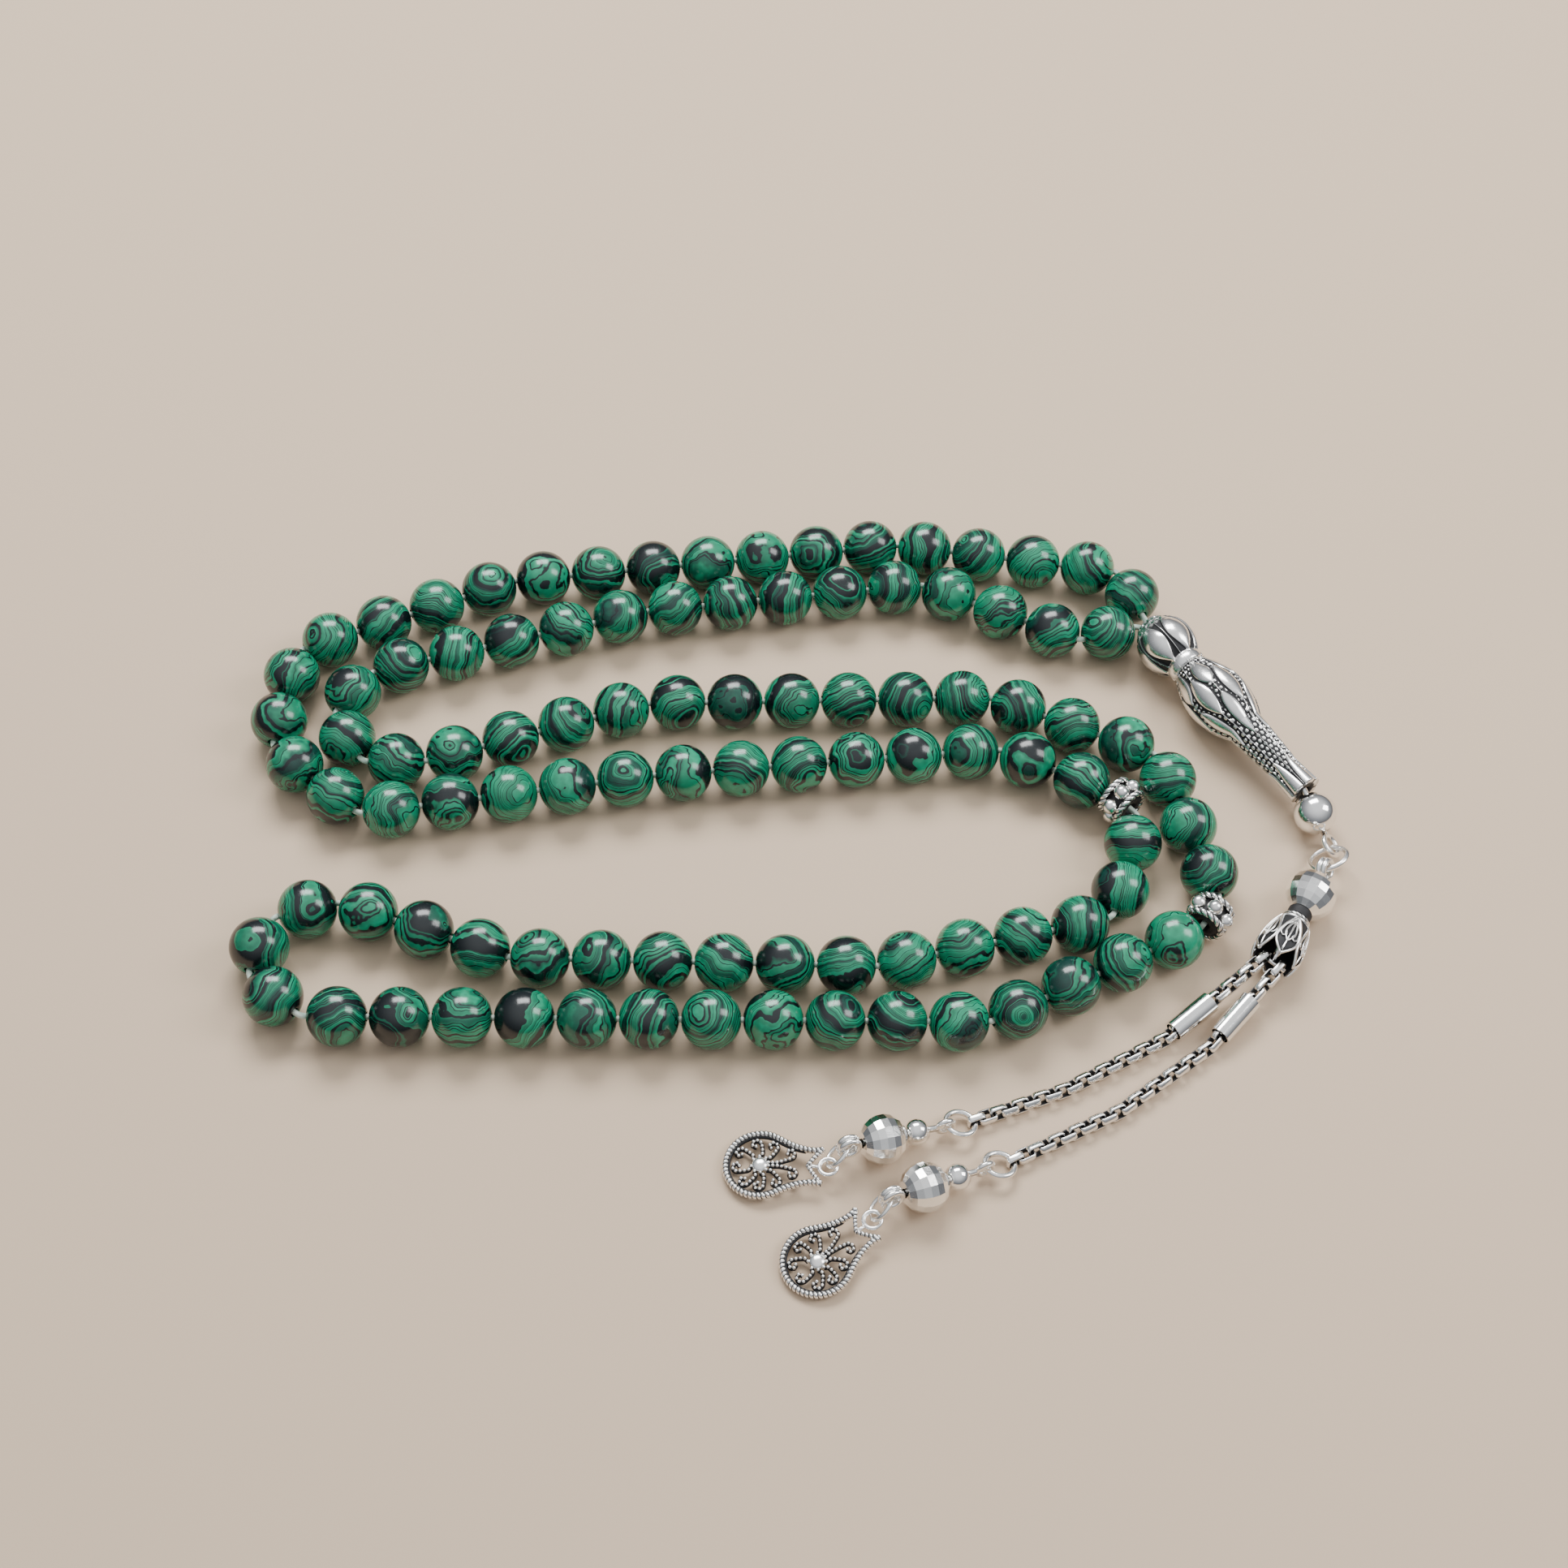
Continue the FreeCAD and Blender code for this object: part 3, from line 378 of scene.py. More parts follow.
def sweep(path, radius, sides=8, closed=False, pitch=0.0, lobes=1, depth=0.0, tall=1.0, up=(0, 0, 1),
          sulphideAndShade=0.0, taper=None):
    # round bar along a path; pitch, lobes and depth cut a twisted rope or a milled edge into it
    path = np.asarray(path, float)
    ahead = np.roll(path, -1, 0) - np.roll(path, 1, 0)
    if not closed:
        ahead[0], ahead[-1] = path[1] - path[0], path[-1] - path[-2]
    ahead /= np.linalg.norm(ahead, axis=1)[:, None]
    up = np.broadcast_to(np.asarray(up, float), path.shape)
    side = np.cross(up, ahead)
    side /= np.linalg.norm(side, axis=1)[:, None]
    lift = np.cross(ahead, side) * tall
    steps = np.linalg.norm(np.diff(path, axis=0), axis=1)
    travelled = np.concatenate([[0], np.cumsum(steps)])
    angle = ringAngles(sides)
    swell = np.ones((len(path), sides))
    tone = np.broadcast_to(np.reshape(np.asarray(sulphideAndShade, float), (-1, 1)), swell.shape).copy()
    if depth:
        whole = travelled[-1] + (np.linalg.norm(path[0] - path[-1]) if closed else 0)
        turns = round(whole / pitch) / whole
        wave = np.abs(np.cos(0.5 * (lobes * angle[None, :] - 2 * np.pi * turns * travelled[:, None])))
        swell = 1 - depth + depth * wave
        # grooves between the strands darkened, partly sulphide and partly painted shade
        tone = np.maximum(tone, np.clip(1.25 - 2.2 * wave, 0, 1))
    if taper is not None:
        swell = swell * np.reshape(taper, (-1, 1))
    ring = radius * swell[:, :, None] * (np.cos(angle)[None, :, None] * side[:, None]
                                         + np.sin(angle)[None, :, None] * lift[:, None])
    points = (path[:, None] + ring).reshape(-1, 3)
    faces = gridFaces(len(path), sides, closedRows=closed)
    if not closed:
        faces.append(list(range(sides))[::-1])
        faces.append([(len(path) - 1) * sides + k for k in range(sides)])
    return points, faces, tone.reshape(-1)


def globe(centre, radius, sides, rings, flat=1.0, sulphideAndShade=0.0):
    # closed ball, pressed flat along Z, darker towards its underside: painted shade
    tilt = np.linspace(-np.pi / 2, np.pi / 2, rings + 1)[1:-1]
    angle = ringAngles(sides)
    flatPart = np.cos(tilt)[:, None] * np.ones(sides)
    rise = np.sin(tilt)[:, None] * np.ones(sides)
    cast = [flatPart * np.cos(angle), flatPart * np.sin(angle), rise * flat]
    points = np.stack(cast, -1).reshape(-1, 3)
    points = np.concatenate([points, [[0, 0, -flat], [0, 0, flat]]])
    count = len(tilt) * sides
    faces = gridFaces(len(tilt), sides)
    for k in range(sides):
        after = (k + 1) % sides
        faces.append([count, after, k])
        faces.append([count + 1, (len(tilt) - 1) * sides + k, (len(tilt) - 1) * sides + after])
    tone = np.clip(sulphideAndShade - points[:, 2], 0, 1)
    return points * radius + np.asarray(centre, float), faces, tone


def joinParts(name, parts, place, smooth=True):
    points, faces, tones, base = [], [], [], 0
    for part, partFaces, tone in parts:
        points.append(part)
        faces += [[base + k for k in face] for face in partFaces]
        tones.append(np.broadcast_to(tone, len(part)))
        base += len(part)
    mesh = bpy.data.meshes.new(name)
    mesh.from_pydata(np.concatenate(points).tolist(), [], faces)
    tone = mesh.attributes.new("sulphideAndShade", "FLOAT", "POINT")
    tone.data.foreach_set("value", np.concatenate(tones).astype(np.float32))
    mesh.polygons.foreach_set("use_smooth", np.full(len(mesh.polygons), smooth))
    mesh.transform(Matrix.Scale(mm, 4) @ place)
    mesh.update()
    return mesh


def showPiece(name, mesh, finish, node, body=None):
    # a finished mesh takes the place of a CAD node and moves with its body
    piece = bpy.data.objects.new(name, mesh)
    bpy.context.scene.collection.objects.link(piece)
    if not mesh.materials:
        mesh.materials.append(finishes[finish])
    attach(piece, body or node)
    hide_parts(node)
    return piece


# ---- geometry node trees for what repeats

def newTree(name, inputs):
    tree = bpy.data.node_groups.new(name, "GeometryNodeTree")
    tree.is_modifier = True
    tree.interface.new_socket(name="Geometry", in_out="INPUT", socket_type="NodeSocketGeometry")
    for label, kind, value in inputs:
        socket = tree.interface.new_socket(name=label, in_out="INPUT", socket_type=f"NodeSocket{kind}")
        if value is not None:
            socket.default_value = value
    tree.interface.new_socket(name="Geometry", in_out="OUTPUT", socket_type="NodeSocketGeometry")
    return tree, tree.nodes.new("NodeGroupInput").outputs, tree.nodes.new("NodeGroupOutput").inputs


def grown(name, tree, settings, source=None):
    # plain mesh made by a tree, with its inputs set by their identifiers
    base = bpy.data.objects.new(name, source or bpy.data.meshes.new(name))
    bpy.context.scene.collection.objects.link(base)
    modifier = base.modifiers.new("grow", "NODES")
    modifier.node_group = tree
    for item in tree.interface.items_tree:
        if item.in_out == "INPUT" and item.name in settings:
            modifier[item.identifier] = settings[item.name]
    graph = bpy.context.evaluated_depsgraph_get()
    mesh = bpy.data.meshes.new_from_object(base.evaluated_get(graph), depsgraph=graph)
    base.modifiers.clear()
    bpy.data.objects.remove(base)
    mesh.name = name
    return mesh


def formObject(name, mesh):
    form = bpy.data.objects.new(name, mesh)
    bpy.context.scene.collection.objects.link(form)
    return form


def buildRowTree():
    # beads in a row along X, each with its own stone: where its bands are centred and how they run
    tree, given, result = newTree("beadRow", (
        ("Count", "Int", 3), ("Pitch", "Float", 8.15), ("Seed", "Int", 1), ("Nearest", "Float", 1.5),
        ("Farthest", "Float", 12.0), ("Form", "Object", None), ("Finish", "Material", None)))
    gap = addNode(tree, "ShaderNodeCombineXYZ", {0: given["Pitch"]}).outputs[0]
    row = addNode(tree, "GeometryNodeMeshLine", {"Count": given["Count"], "Offset": gap}).outputs[0]
    form = addNode(tree, "GeometryNodeObjectInfo", {"Object": given["Form"]}).outputs["Geometry"]
    spin = addNode(tree, "FunctionNodeRandomValue", {2: 0.0, 3: 6.283, "Seed": given["Seed"]},
                   data_type="FLOAT").outputs[1]
    turn = addNode(tree, "ShaderNodeCombineXYZ", {0: spin}).outputs[0]
    beads = addNode(tree, "GeometryNodeInstanceOnPoints",
                    {"Points": row, "Instance": form, "Rotation": turn}).outputs[0]
    toward = addNode(tree, "FunctionNodeRandomValue", {0: (-1.0, -1.0, -1.0), 1: (1.0, 1.0, 1.0),
                                                       "Seed": mathNode(tree, "ADD", given["Seed"], 31.0)},
                     data_type="FLOAT_VECTOR").outputs[0]
    toward = addNode(tree, "ShaderNodeVectorMath", {0: toward}, operation="NORMALIZE").outputs[0]
    spread = addNode(tree, "FunctionNodeRandomValue", {2: 0.0, 3: 1.0,
                                                       "Seed": mathNode(tree, "ADD", given["Seed"], 67.0)},
                     data_type="FLOAT").outputs[1]
    reach = mapRange(tree, mathNode(tree, "POWER", spread, 1.6), 0.0, 1.0, given["Nearest"],
                     given["Farthest"])
    middle = addNode(tree, "ShaderNodeVectorMath", {0: toward, "Scale": reach}, operation="SCALE").outputs[0]
    stoneSeed = addNode(tree, "FunctionNodeRandomValue", {2: 0.0, 3: 400.0,
                                                          "Seed": mathNode(tree, "ADD", given["Seed"], 93.0)},
                        data_type="FLOAT").outputs[1]
    kept = beads
    for label, kind, value in (("stoneMiddle", "FLOAT_VECTOR", middle), ("stoneSeed", "FLOAT", stoneSeed)):
        kept = addNode(tree, "GeometryNodeStoreNamedAttribute",
                       {"Geometry": kept, "Name": label, "Value": value},
                       data_type=kind, domain="INSTANCE").outputs[0]
    real = addNode(tree, "GeometryNodeRealizeInstances", {"Geometry": kept}).outputs[0]
    inForm = addNode(tree, "GeometryNodeInputNamedAttribute", {"Name": "formPlace"},
                     data_type="FLOAT_VECTOR").outputs[0]
    ofStone = addNode(tree, "GeometryNodeInputNamedAttribute", {"Name": "stoneMiddle"},
                      data_type="FLOAT_VECTOR").outputs[0]
    away = addNode(tree, "ShaderNodeVectorMath", {0: inForm, 1: ofStone}, operation="SUBTRACT").outputs[0]
    coord = addNode(tree, "GeometryNodeStoreNamedAttribute",
                    {"Geometry": real, "Name": "stoneCoord", "Value": away},
                    data_type="FLOAT_VECTOR", domain="POINT").outputs[0]
    done = addNode(tree, "GeometryNodeSetMaterial", {"Geometry": coord, "Material": given["Finish"]})
    tree.links.new(done.outputs[0], result[0])
    return tree


def buildPlacedTree():
    # one form on each point of a mesh, turned and sized by the points' own values
    tree, given, result = newTree("placedForms", (("Form", "Object", None), ("Finish", "Material", None)))
    form = addNode(tree, "GeometryNodeObjectInfo", {"Object": given["Form"]}).outputs["Geometry"]
    turn = addNode(tree, "GeometryNodeInputNamedAttribute", {"Name": "pointTurn"},
                   data_type="FLOAT_VECTOR").outputs[0]
    size = addNode(tree, "GeometryNodeInputNamedAttribute", {"Name": "pointSize"},
                   data_type="FLOAT").outputs[0]
    placed = addNode(tree, "GeometryNodeInstanceOnPoints",
                     {"Points": given["Geometry"], "Instance": form, "Rotation": turn, "Scale": size})
    real = addNode(tree, "GeometryNodeRealizeInstances", {"Geometry": placed.outputs[0]}).outputs[0]
    done = addNode(tree, "GeometryNodeSetMaterial", {"Geometry": real, "Material": given["Finish"]})
    tree.links.new(done.outputs[0], result[0])
    return tree


rowTree = buildRowTree()
placedTree = buildPlacedTree()


def placedForms(name, points, turns, sizes, form, finish):
    source = bpy.data.meshes.new(name)
    source.from_pydata([tuple(point) for point in points], [], [])
    source.attributes.new("pointTurn", "FLOAT_VECTOR", "POINT").data.foreach_set(
        "vector", np.asarray(turns, np.float32).reshape(-1))
    source.attributes.new("pointSize", "FLOAT", "POINT").data.foreach_set(
        "value", np.asarray(sizes, np.float32).reshape(-1))
    return grown(name, placedTree, {"Form": form, "Finish": finishes[finish]}, source)


def asPart(mesh):
    # a grown mesh as a part that can be joined to others
    points = np.zeros(len(mesh.vertices) * 3)
    mesh.vertices.foreach_get("co", points)
    tone = np.zeros(len(mesh.vertices))
    if "sulphideAndShade" in mesh.attributes:
        mesh.attributes["sulphideAndShade"].data.foreach_get("value", tone)
    return points.reshape(-1, 3), [list(face.vertices) for face in mesh.polygons], tone


# ---- malachite beads

bead = {"radius": 4.0, "bore": 0.65, "gap": 0.15, "softEdge": 0.16, "sides": 40, "rows": 24, "seed": 7}


def beadForm():
    # drilled ball with its hole's edges rounded over
    edge = math.asin((bead["bore"] + bead["softEdge"]) / bead["radius"])
    arc = np.linspace(edge, math.pi - edge, bead["rows"])
    outline = [(-bead["radius"] * math.cos(a), bead["radius"] * math.sin(a)) for a in arc]
    last = outline[-1][0]
    lip = [(last - 0.03, bead["bore"] + 0.05), (last - 0.14, bead["bore"])]
    profile = outline + lip + [(-x, r) for x, r in reversed(lip)]
    mesh = joinParts("beadForm", [lathe(profile, bead["sides"])], asMade)
    place = np.zeros(len(mesh.vertices) * 3, np.float32)
    mesh.vertices.foreach_get("co", place)
    mesh.attributes.new("formPlace", "FLOAT_VECTOR", "POINT").data.foreach_set("vector", place)
    return formObject("beadForm", mesh)


def makeBeads():
    form = beadForm()
    pitch = 2 * bead["radius"] + bead["gap"]
    rows = sorted(name for name in frame["nodes"] if name.startswith("beads_"))
    total = 0
    for number, name in enumerate(rows, start=1):
        low, high = (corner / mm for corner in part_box(name))
        span = math.hypot(high.x - low.x - 2 * bead["radius"], high.y - low.y - 2 * bead["radius"])
        count = round(span / pitch) + 1
        total += count
        mesh = grown(f"stone_{name}", rowTree, {
            "Count": count, "Pitch": pitch, "Seed": bead["seed"] * 100 + number * 13,
            "Form": form, "Finish": finishes["malachite"]})
        mesh.transform(Matrix.Scale(mm, 4) @ alongAxis(pivotOf(name), axisOf(name)))
        showPiece(f"stone_{name}", mesh, "malachite", name)
    bpy.data.objects.remove(form)
    print("malachite beads", total)


makeBeads()


def smoothPath(corners, steps):
    # even points along a Catmull-Rom line through the corners
    corners = np.asarray(corners, float)
    padded = np.concatenate([[2 * corners[0] - corners[1]], corners, [2 * corners[-1] - corners[-2]]])
    points = []
    for a, b, c, d in zip(padded, padded[1:], padded[2:], padded[3:]):
        for t in np.linspace(0, 1, 12, endpoint=False):
            points.append(0.5 * (2 * b + (c - a) * t + (2 * a - 5 * b + 4 * c - d) * t * t
                                 + (3 * b - a - 3 * c + d) * t ** 3))
    points = np.array(points + [corners[-1]])
    run = np.concatenate([[0], np.cumsum(np.linalg.norm(np.diff(points, axis=0), axis=1))])
    at = np.linspace(0, run[-1], steps)
    return np.stack([np.interp(at, run, points[:, k]) for k in range(points.shape[1])], -1)


# ---- imame, the long head bead

imame = {
    "length": 35.2, "rows": 300, "sides": 252, "relief": 0.42, "petals": 6,
    "headPetals": (1.2, 8.1, 0.0, 0.90), "collar": (8.75, 0.95),
    "bodyPetals": ((9.9, 15.2, 0.5, 0.66), (12.7, 19.6, 0.0, 0.60), (17.2, 24.6, 0.5, 0.56)),
    "grain": 0.74, "grainAround": 32, "grainHeight": 0.24, "neckFrom": 21.0,
    "brick": 0.80, "brickAround": 20, "leafFrom": 29.8, "mouthDimples": 0.9,
    "heading": -53.5, "lean": 18.0, "endWall": 0.4,
    # how the bore widens and narrows from the tail end to the mouth: along, out
    "inside": ((35.2, 0.75), (34.4, 0.75), (34.4, 1.55), (31.0, 1.55), (31.0, 0.9), (7.65, 0.9),
               (6.9, 2.05), (5.0, 2.8), (3.1, 2.05), (2.7, 1.6), (0.0, 1.6)),
}


def imameRadius(x):
    plain = np.interp(x, [0, 8, 9.6, 9.601, 22, 31, 35.2], [2.1, 2.9, 2.9, 2.6, 2.9, 2.2, 2.45])
    head = 1.85 * np.clip(1 - (x / 4 - 1) ** 2, 0, 1)
    body = 1.85 * np.clip(1 - ((x - 9.6) / 6.2 - 1) ** 2, 0, 1)
    return plain + head + body


def lens(x, angle, start, end, offset, width, count, blunt=0.62):
    # 1 on a petal's spine, 0 along its edge and below 0 outside
    u = np.clip((x - start) / (end - start), 0, 1)
    v = ((angle * count / (2 * np.pi) - offset + 0.5) % 1.0 - 0.5) * 2 / width
    half = np.sin(np.pi * u) ** blunt
    return 1 - (np.abs(v) / np.maximum(half, 0.02)) ** 2


def grains(x, angle, pitch, around):
    row = np.floor(x / pitch)
    v = (angle * around / (2 * np.pi) + 0.5 * (row % 2)) % 1 - 0.5
    u = x / pitch - row - 0.5
    return np.sqrt(np.clip(1 - (u * u + v * v) / 0.15, 0, 1))


def imameRelief(x, angle):
    # height of the chased work and how deep each point lies in its blackened ground; the blackening is partly
    # sulphide and partly painted shade
    deep = np.full(x.shape, -9.0)
    start, end, offset, width = imame["headPetals"]
    deep = np.maximum(deep, lens(x, angle, start, end, offset, width, imame["petals"], 0.7))
    for start, end, offset, width in imame["bodyPetals"]:
        deep = np.maximum(deep, lens(x, angle, start, end, offset, width, imame["petals"]))
    u = np.clip((x - imame["leafFrom"]) / (imame["length"] - imame["leafFrom"]), 0, 1)
    v = ((angle * imame["petals"] / (2 * np.pi) + 0.5) % 1.0 - 0.5) * 2 / 0.9
    leaf = np.where(u > 0, 1 - (np.abs(v) / np.maximum(np.sin(np.pi / 2 * u) ** 0.6, 0.02)) ** 2, -9.0)
    deep = np.maximum(deep, leaf)
    height = imame["relief"] * np.sqrt(np.clip(deep, 0, 1)) ** 0.8
    dark = np.clip(1.1 - 3.5 * np.clip(deep, 0, 1), 0, 1)
    middle, half = imame["collar"]
    band = np.sqrt(np.clip(1 - ((x - middle) / half) ** 2, 0, 1))
    height = np.maximum(height, imame["relief"] * band)
    dark = np.minimum(dark, 1 - np.clip(2.0 * band, 0, 1))
    neck = x > imame["neckFrom"]
    seeds = np.where(neck, grains(x, angle, imame["brick"], imame["brickAround"]) ** 0.6,
                     grains(x, angle, imame["grain"], imame["grainAround"]))
    ground = (deep < -0.42) & (x > 9.8) & (x < imame["length"] - 0.4)
    seeds = np.where(ground, seeds, 0)
    height = np.maximum(height, imame["grainHeight"] * seeds)
    dark = np.minimum(dark, 1 - np.clip(1.15 * seeds, 0, 1))
    dimple = grains(x + 0.2 * np.sin(5 * angle), angle, imame["mouthDimples"], 20)
    mouth = np.clip(1 - x / 2.6, 0, 1)
    height = height + mouth * (imame["relief"] * 0.9 - 0.22 * dimple - height)
    dark = dark * (1 - np.clip(2 * mouth, 0, 1)) + mouth * 0.45 * (1 - dimple)
    return height, dark


def makeImame():
    sides = imame["sides"]
    along = np.linspace(0, imame["length"], imame["rows"])
    angle = ringAngles(sides)
    x, turn = np.meshgrid(along, angle, indexing="ij")
    height, dark = imameRelief(x, turn)
    out = imameRadius(x) - imame["relief"] + height
    inside = np.array(imame["inside"])[:, :, None] * np.ones(sides)
    x, out = np.concatenate([x, inside[:, 0]]), np.concatenate([out, inside[:, 1]])
    # the inside of the bore is painted fully dark: painted shade
    dark = np.concatenate([dark, np.ones(inside[:, 0].shape)])
    turn = np.broadcast_to(angle, x.shape)
    points = np.stack([x, out * np.cos(turn), out * np.sin(turn)], -1).reshape(-1, 3)
    part = (points, gridFaces(len(x), sides, closedRows=True), dark.reshape(-1))
    tail = placeAt(pivotOf("eye_pin"), imame["heading"], lean=imame["lean"])
    mouth = Matrix.Translation((imame["endWall"] - imame["length"], 0, 0))
    mesh = joinParts("imameChased", [part], tail @ mouth)
    showPiece("imameChased", mesh, "worked", "imame", "core")
    print("imame", len(mesh.polygons), "faces")


makeImame()


# ---- dividers

dividerBead = {"hub": 2.15, "hubHalf": 1.75, "bore": 1.0, "rope": 0.47, "ropeAt": 1.53, "ropeOut": 2.55,
               "ropePitch": 1.0, "ropeDepth": 0.36, "ropeSteps": 288, "grain": 1.1, "grainOut": 2.5,
               "grains": 6, "lean": 10.0}


def makeDividers():
    spec = dividerBead
    half = spec["hubHalf"]
    # the hub is blackened all over, partly sulphide and partly painted shade between the ropes
    parts = [lathe([(-half, spec["hub"]), (half, spec["hub"]), (half, spec["bore"]), (-half, spec["bore"])],
                   48, 1.0)]
    for side in (-1, 1):
        path = ringPath(side * spec["ropeAt"], spec["ropeOut"], spec["ropeSteps"])
        parts.append(sweep(path, spec["rope"], 14, closed=True, pitch=spec["ropePitch"], lobes=2,
                           depth=spec["ropeDepth"], up=(1, 0, 0)))
    # the grains darken on their side towards the hub: painted shade
    grain = globe((0, 0, 0), spec["grain"], 20, 14, sulphideAndShade=-0.15)
    form = formObject("dividerGrain", joinParts("dividerGrain", [grain], asMade))
    steps = [2 * math.pi * k / spec["grains"] for k in range(spec["grains"])]
    places = [(0, -spec["grainOut"] * math.sin(a), spec["grainOut"] * math.cos(a)) for a in steps]
    parts.append(asPart(placedForms("dividerGrains", places, [(a, 0, 0) for a in steps], [1.0] * len(steps),
                                    form, "worked")))
    for name in ("divider_1", "divider_2"):
        mesh = joinParts(f"{name}Worked", parts, alongAxis(pivotOf(name), axisOf(name), spec["lean"]))
        showPiece(f"{name}Worked", mesh, "worked", name)
    bpy.data.objects.remove(form)
    print("dividers done")


makeDividers()


# ---- faceted beads

dropFacets = {"radius": 3.25, "half": 2.85, "around": 14}
facets = {"tassel_bead": {"radius": 3.55, "half": 3.15, "around": 16}, "drop_bead_a": dropFacets,
          "drop_bead_b": dropFacets}
facetCut = {"rows": 7, "stretch": 1 / 0.985, "bore": 0.65, "chamfer": 0.1, "turn": 0.2}


def makeFacetedBeads():
    for name, spec in facets.items():
        half, radius, stretch = spec["half"], spec["radius"], facetCut["stretch"]
        limit = math.asin(half / radius / stretch)
        tilt = np.linspace(-limit, limit, facetCut["rows"] + 1)
        outline = [(radius * math.sin(a) * stretch, radius * math.cos(a)) for a in tilt[1:-1]]
        end = radius * math.cos(limit) - facetCut["chamfer"]
        outline = [(-half, end)] + outline + [(half, end)]
        outline += [(half, facetCut["bore"]), (-half, facetCut["bore"])]
        part = lathe(outline, spec["around"], turn=facetCut["turn"])
        mesh = joinParts(f"{name}Faceted", [part], alongAxis(pivotOf(name), axisOf(name)), smooth=False)
        showPiece(f"{name}Faceted", mesh, "polished", name)
    print("faceted beads done")


makeFacetedBeads()


# ---- openwork cap over the chains

capSpec = {"length": 8.2, "neck": 1.8, "mouth": 3.0, "rise": 0.7, "lobes": 6, "scallop": 1.9,
           "shellSides": 96, "shellRows": 14, "wire": 0.21, "vein": 0.15, "beading": 0.24, "lean": 20.0}
# half outlines on the cap: how far down from the neck, and how far round in shares of a lobe
capLines = {
    "petal": [(0.9, 0.02), (2.6, 0.30), (4.8, 0.47), (6.4, 0.38), (8.05, 0.0)],
    "heart": [(1.4, 0.0), (3.2, 0.17), (4.6, 0.20), (5.9, 0.0)],
    "curl": [(2.1, 0.14), (3.3, 0.34), (4.6, 0.40), (5.3, 0.26), (4.9, 0.14), (4.3, 0.20)],
}


def capRadius(x):
    u = np.clip(np.asarray(x, float) / capSpec["length"], 0, 1)
    return capSpec["neck"] + (capSpec["mouth"] - capSpec["neck"]) * u + capSpec["rise"] * 4 * u * (1 - u)


def onCap(x, angle, lift):
    out = capRadius(x) + lift
    return np.stack([x, out * np.cos(angle), out * np.sin(angle)], -1)


def makeCap():
    spec = capSpec
    sides, lobes = spec["shellSides"], spec["lobes"]
    angle = ringAngles(sides)
    across = np.abs((angle * lobes / (2 * np.pi)) % 1 - 0.5) * 2
    end = spec["length"] - 0.35 - spec["scallop"] * (1 - across) ** 0.8
    u = np.linspace(0, 1, spec["shellRows"])[:, None]
    down = 0.1 + u * (end - 0.1)
    around = np.broadcast_to(angle, down.shape)
    # the inner shell is painted black under the wires: painted shade seen through the openwork
    shell = np.concatenate([onCap(down, around, -0.22), onCap(down[::-1], around, -0.42)])
    parts = [(shell.reshape(-1, 3), gridFaces(2 * spec["shellRows"], sides, closedRows=True), 1.0)]
    # the ring at the neck is darkened, partly sulphide and partly painted shade
    parts.append(lathe([(0.0, 1.7), (0.5, 1.8), (0.5, 0.7), (0.0, 0.7)], 32, 0.9))
    for at, out, deep in ((0.3, 1.82, 0.3), (0.95, 2.05, 0.0)):
        parts.append(sweep(ringPath(at, out, 120), spec["beading"], 8, closed=True, up=(1, 0, 0), pitch=0.7,
                           lobes=2, depth=deep))
    pitch = 2 * math.pi / lobes
    wires = (("petal", spec["wire"], -0.02, 0.0), ("heart", spec["vein"], -0.06, 0.0),
             ("curl", spec["vein"], -0.08, 0.35))
    for k in range(lobes):
        middle = (k + 0.5) * pitch + math.pi / lobes
        for side in (-1, 1):
            for line, gauge, lift, deep in wires:
                flat = smoothPath(capLines[line], 34 if deep else 22)
                path = onCap(flat[:, 0], middle + side * flat[:, 1] * pitch, lift)
                radial = path * np.array([0, 1, 1])
                parts.append(sweep(path, gauge, 6, up=radial, pitch=0.34, depth=deep))
        vein = onCap(np.linspace(1.2, 7.4, 16), np.full(16, middle), -0.06)
        parts.append(sweep(vein, spec["vein"] * 0.9, 6, up=vein * np.array([0, 1, 1])))
    mesh = joinParts("capOpenwork", parts, alongAxis(pivotOf("cap"), axisOf("cap"), spec["lean"]))
    showPiece("capOpenwork", mesh, "worked", "cap")
    print("cap", len(mesh.polygons), "faces")


makeCap()


# ---- box chains

chain = {"pitch": 1.55, "long": 2.55, "wide": 2.0, "band": 0.42, "high": 0.95, "corner": 0.34,
         "bar": 0.475, "first": 0.445, "roll": 36.0, "rollOver": 3, "bandSides": 8, "blunt": 0.55,
         "counts": {"a": (12, 10, 9), "b": (10, 10, 11)}}


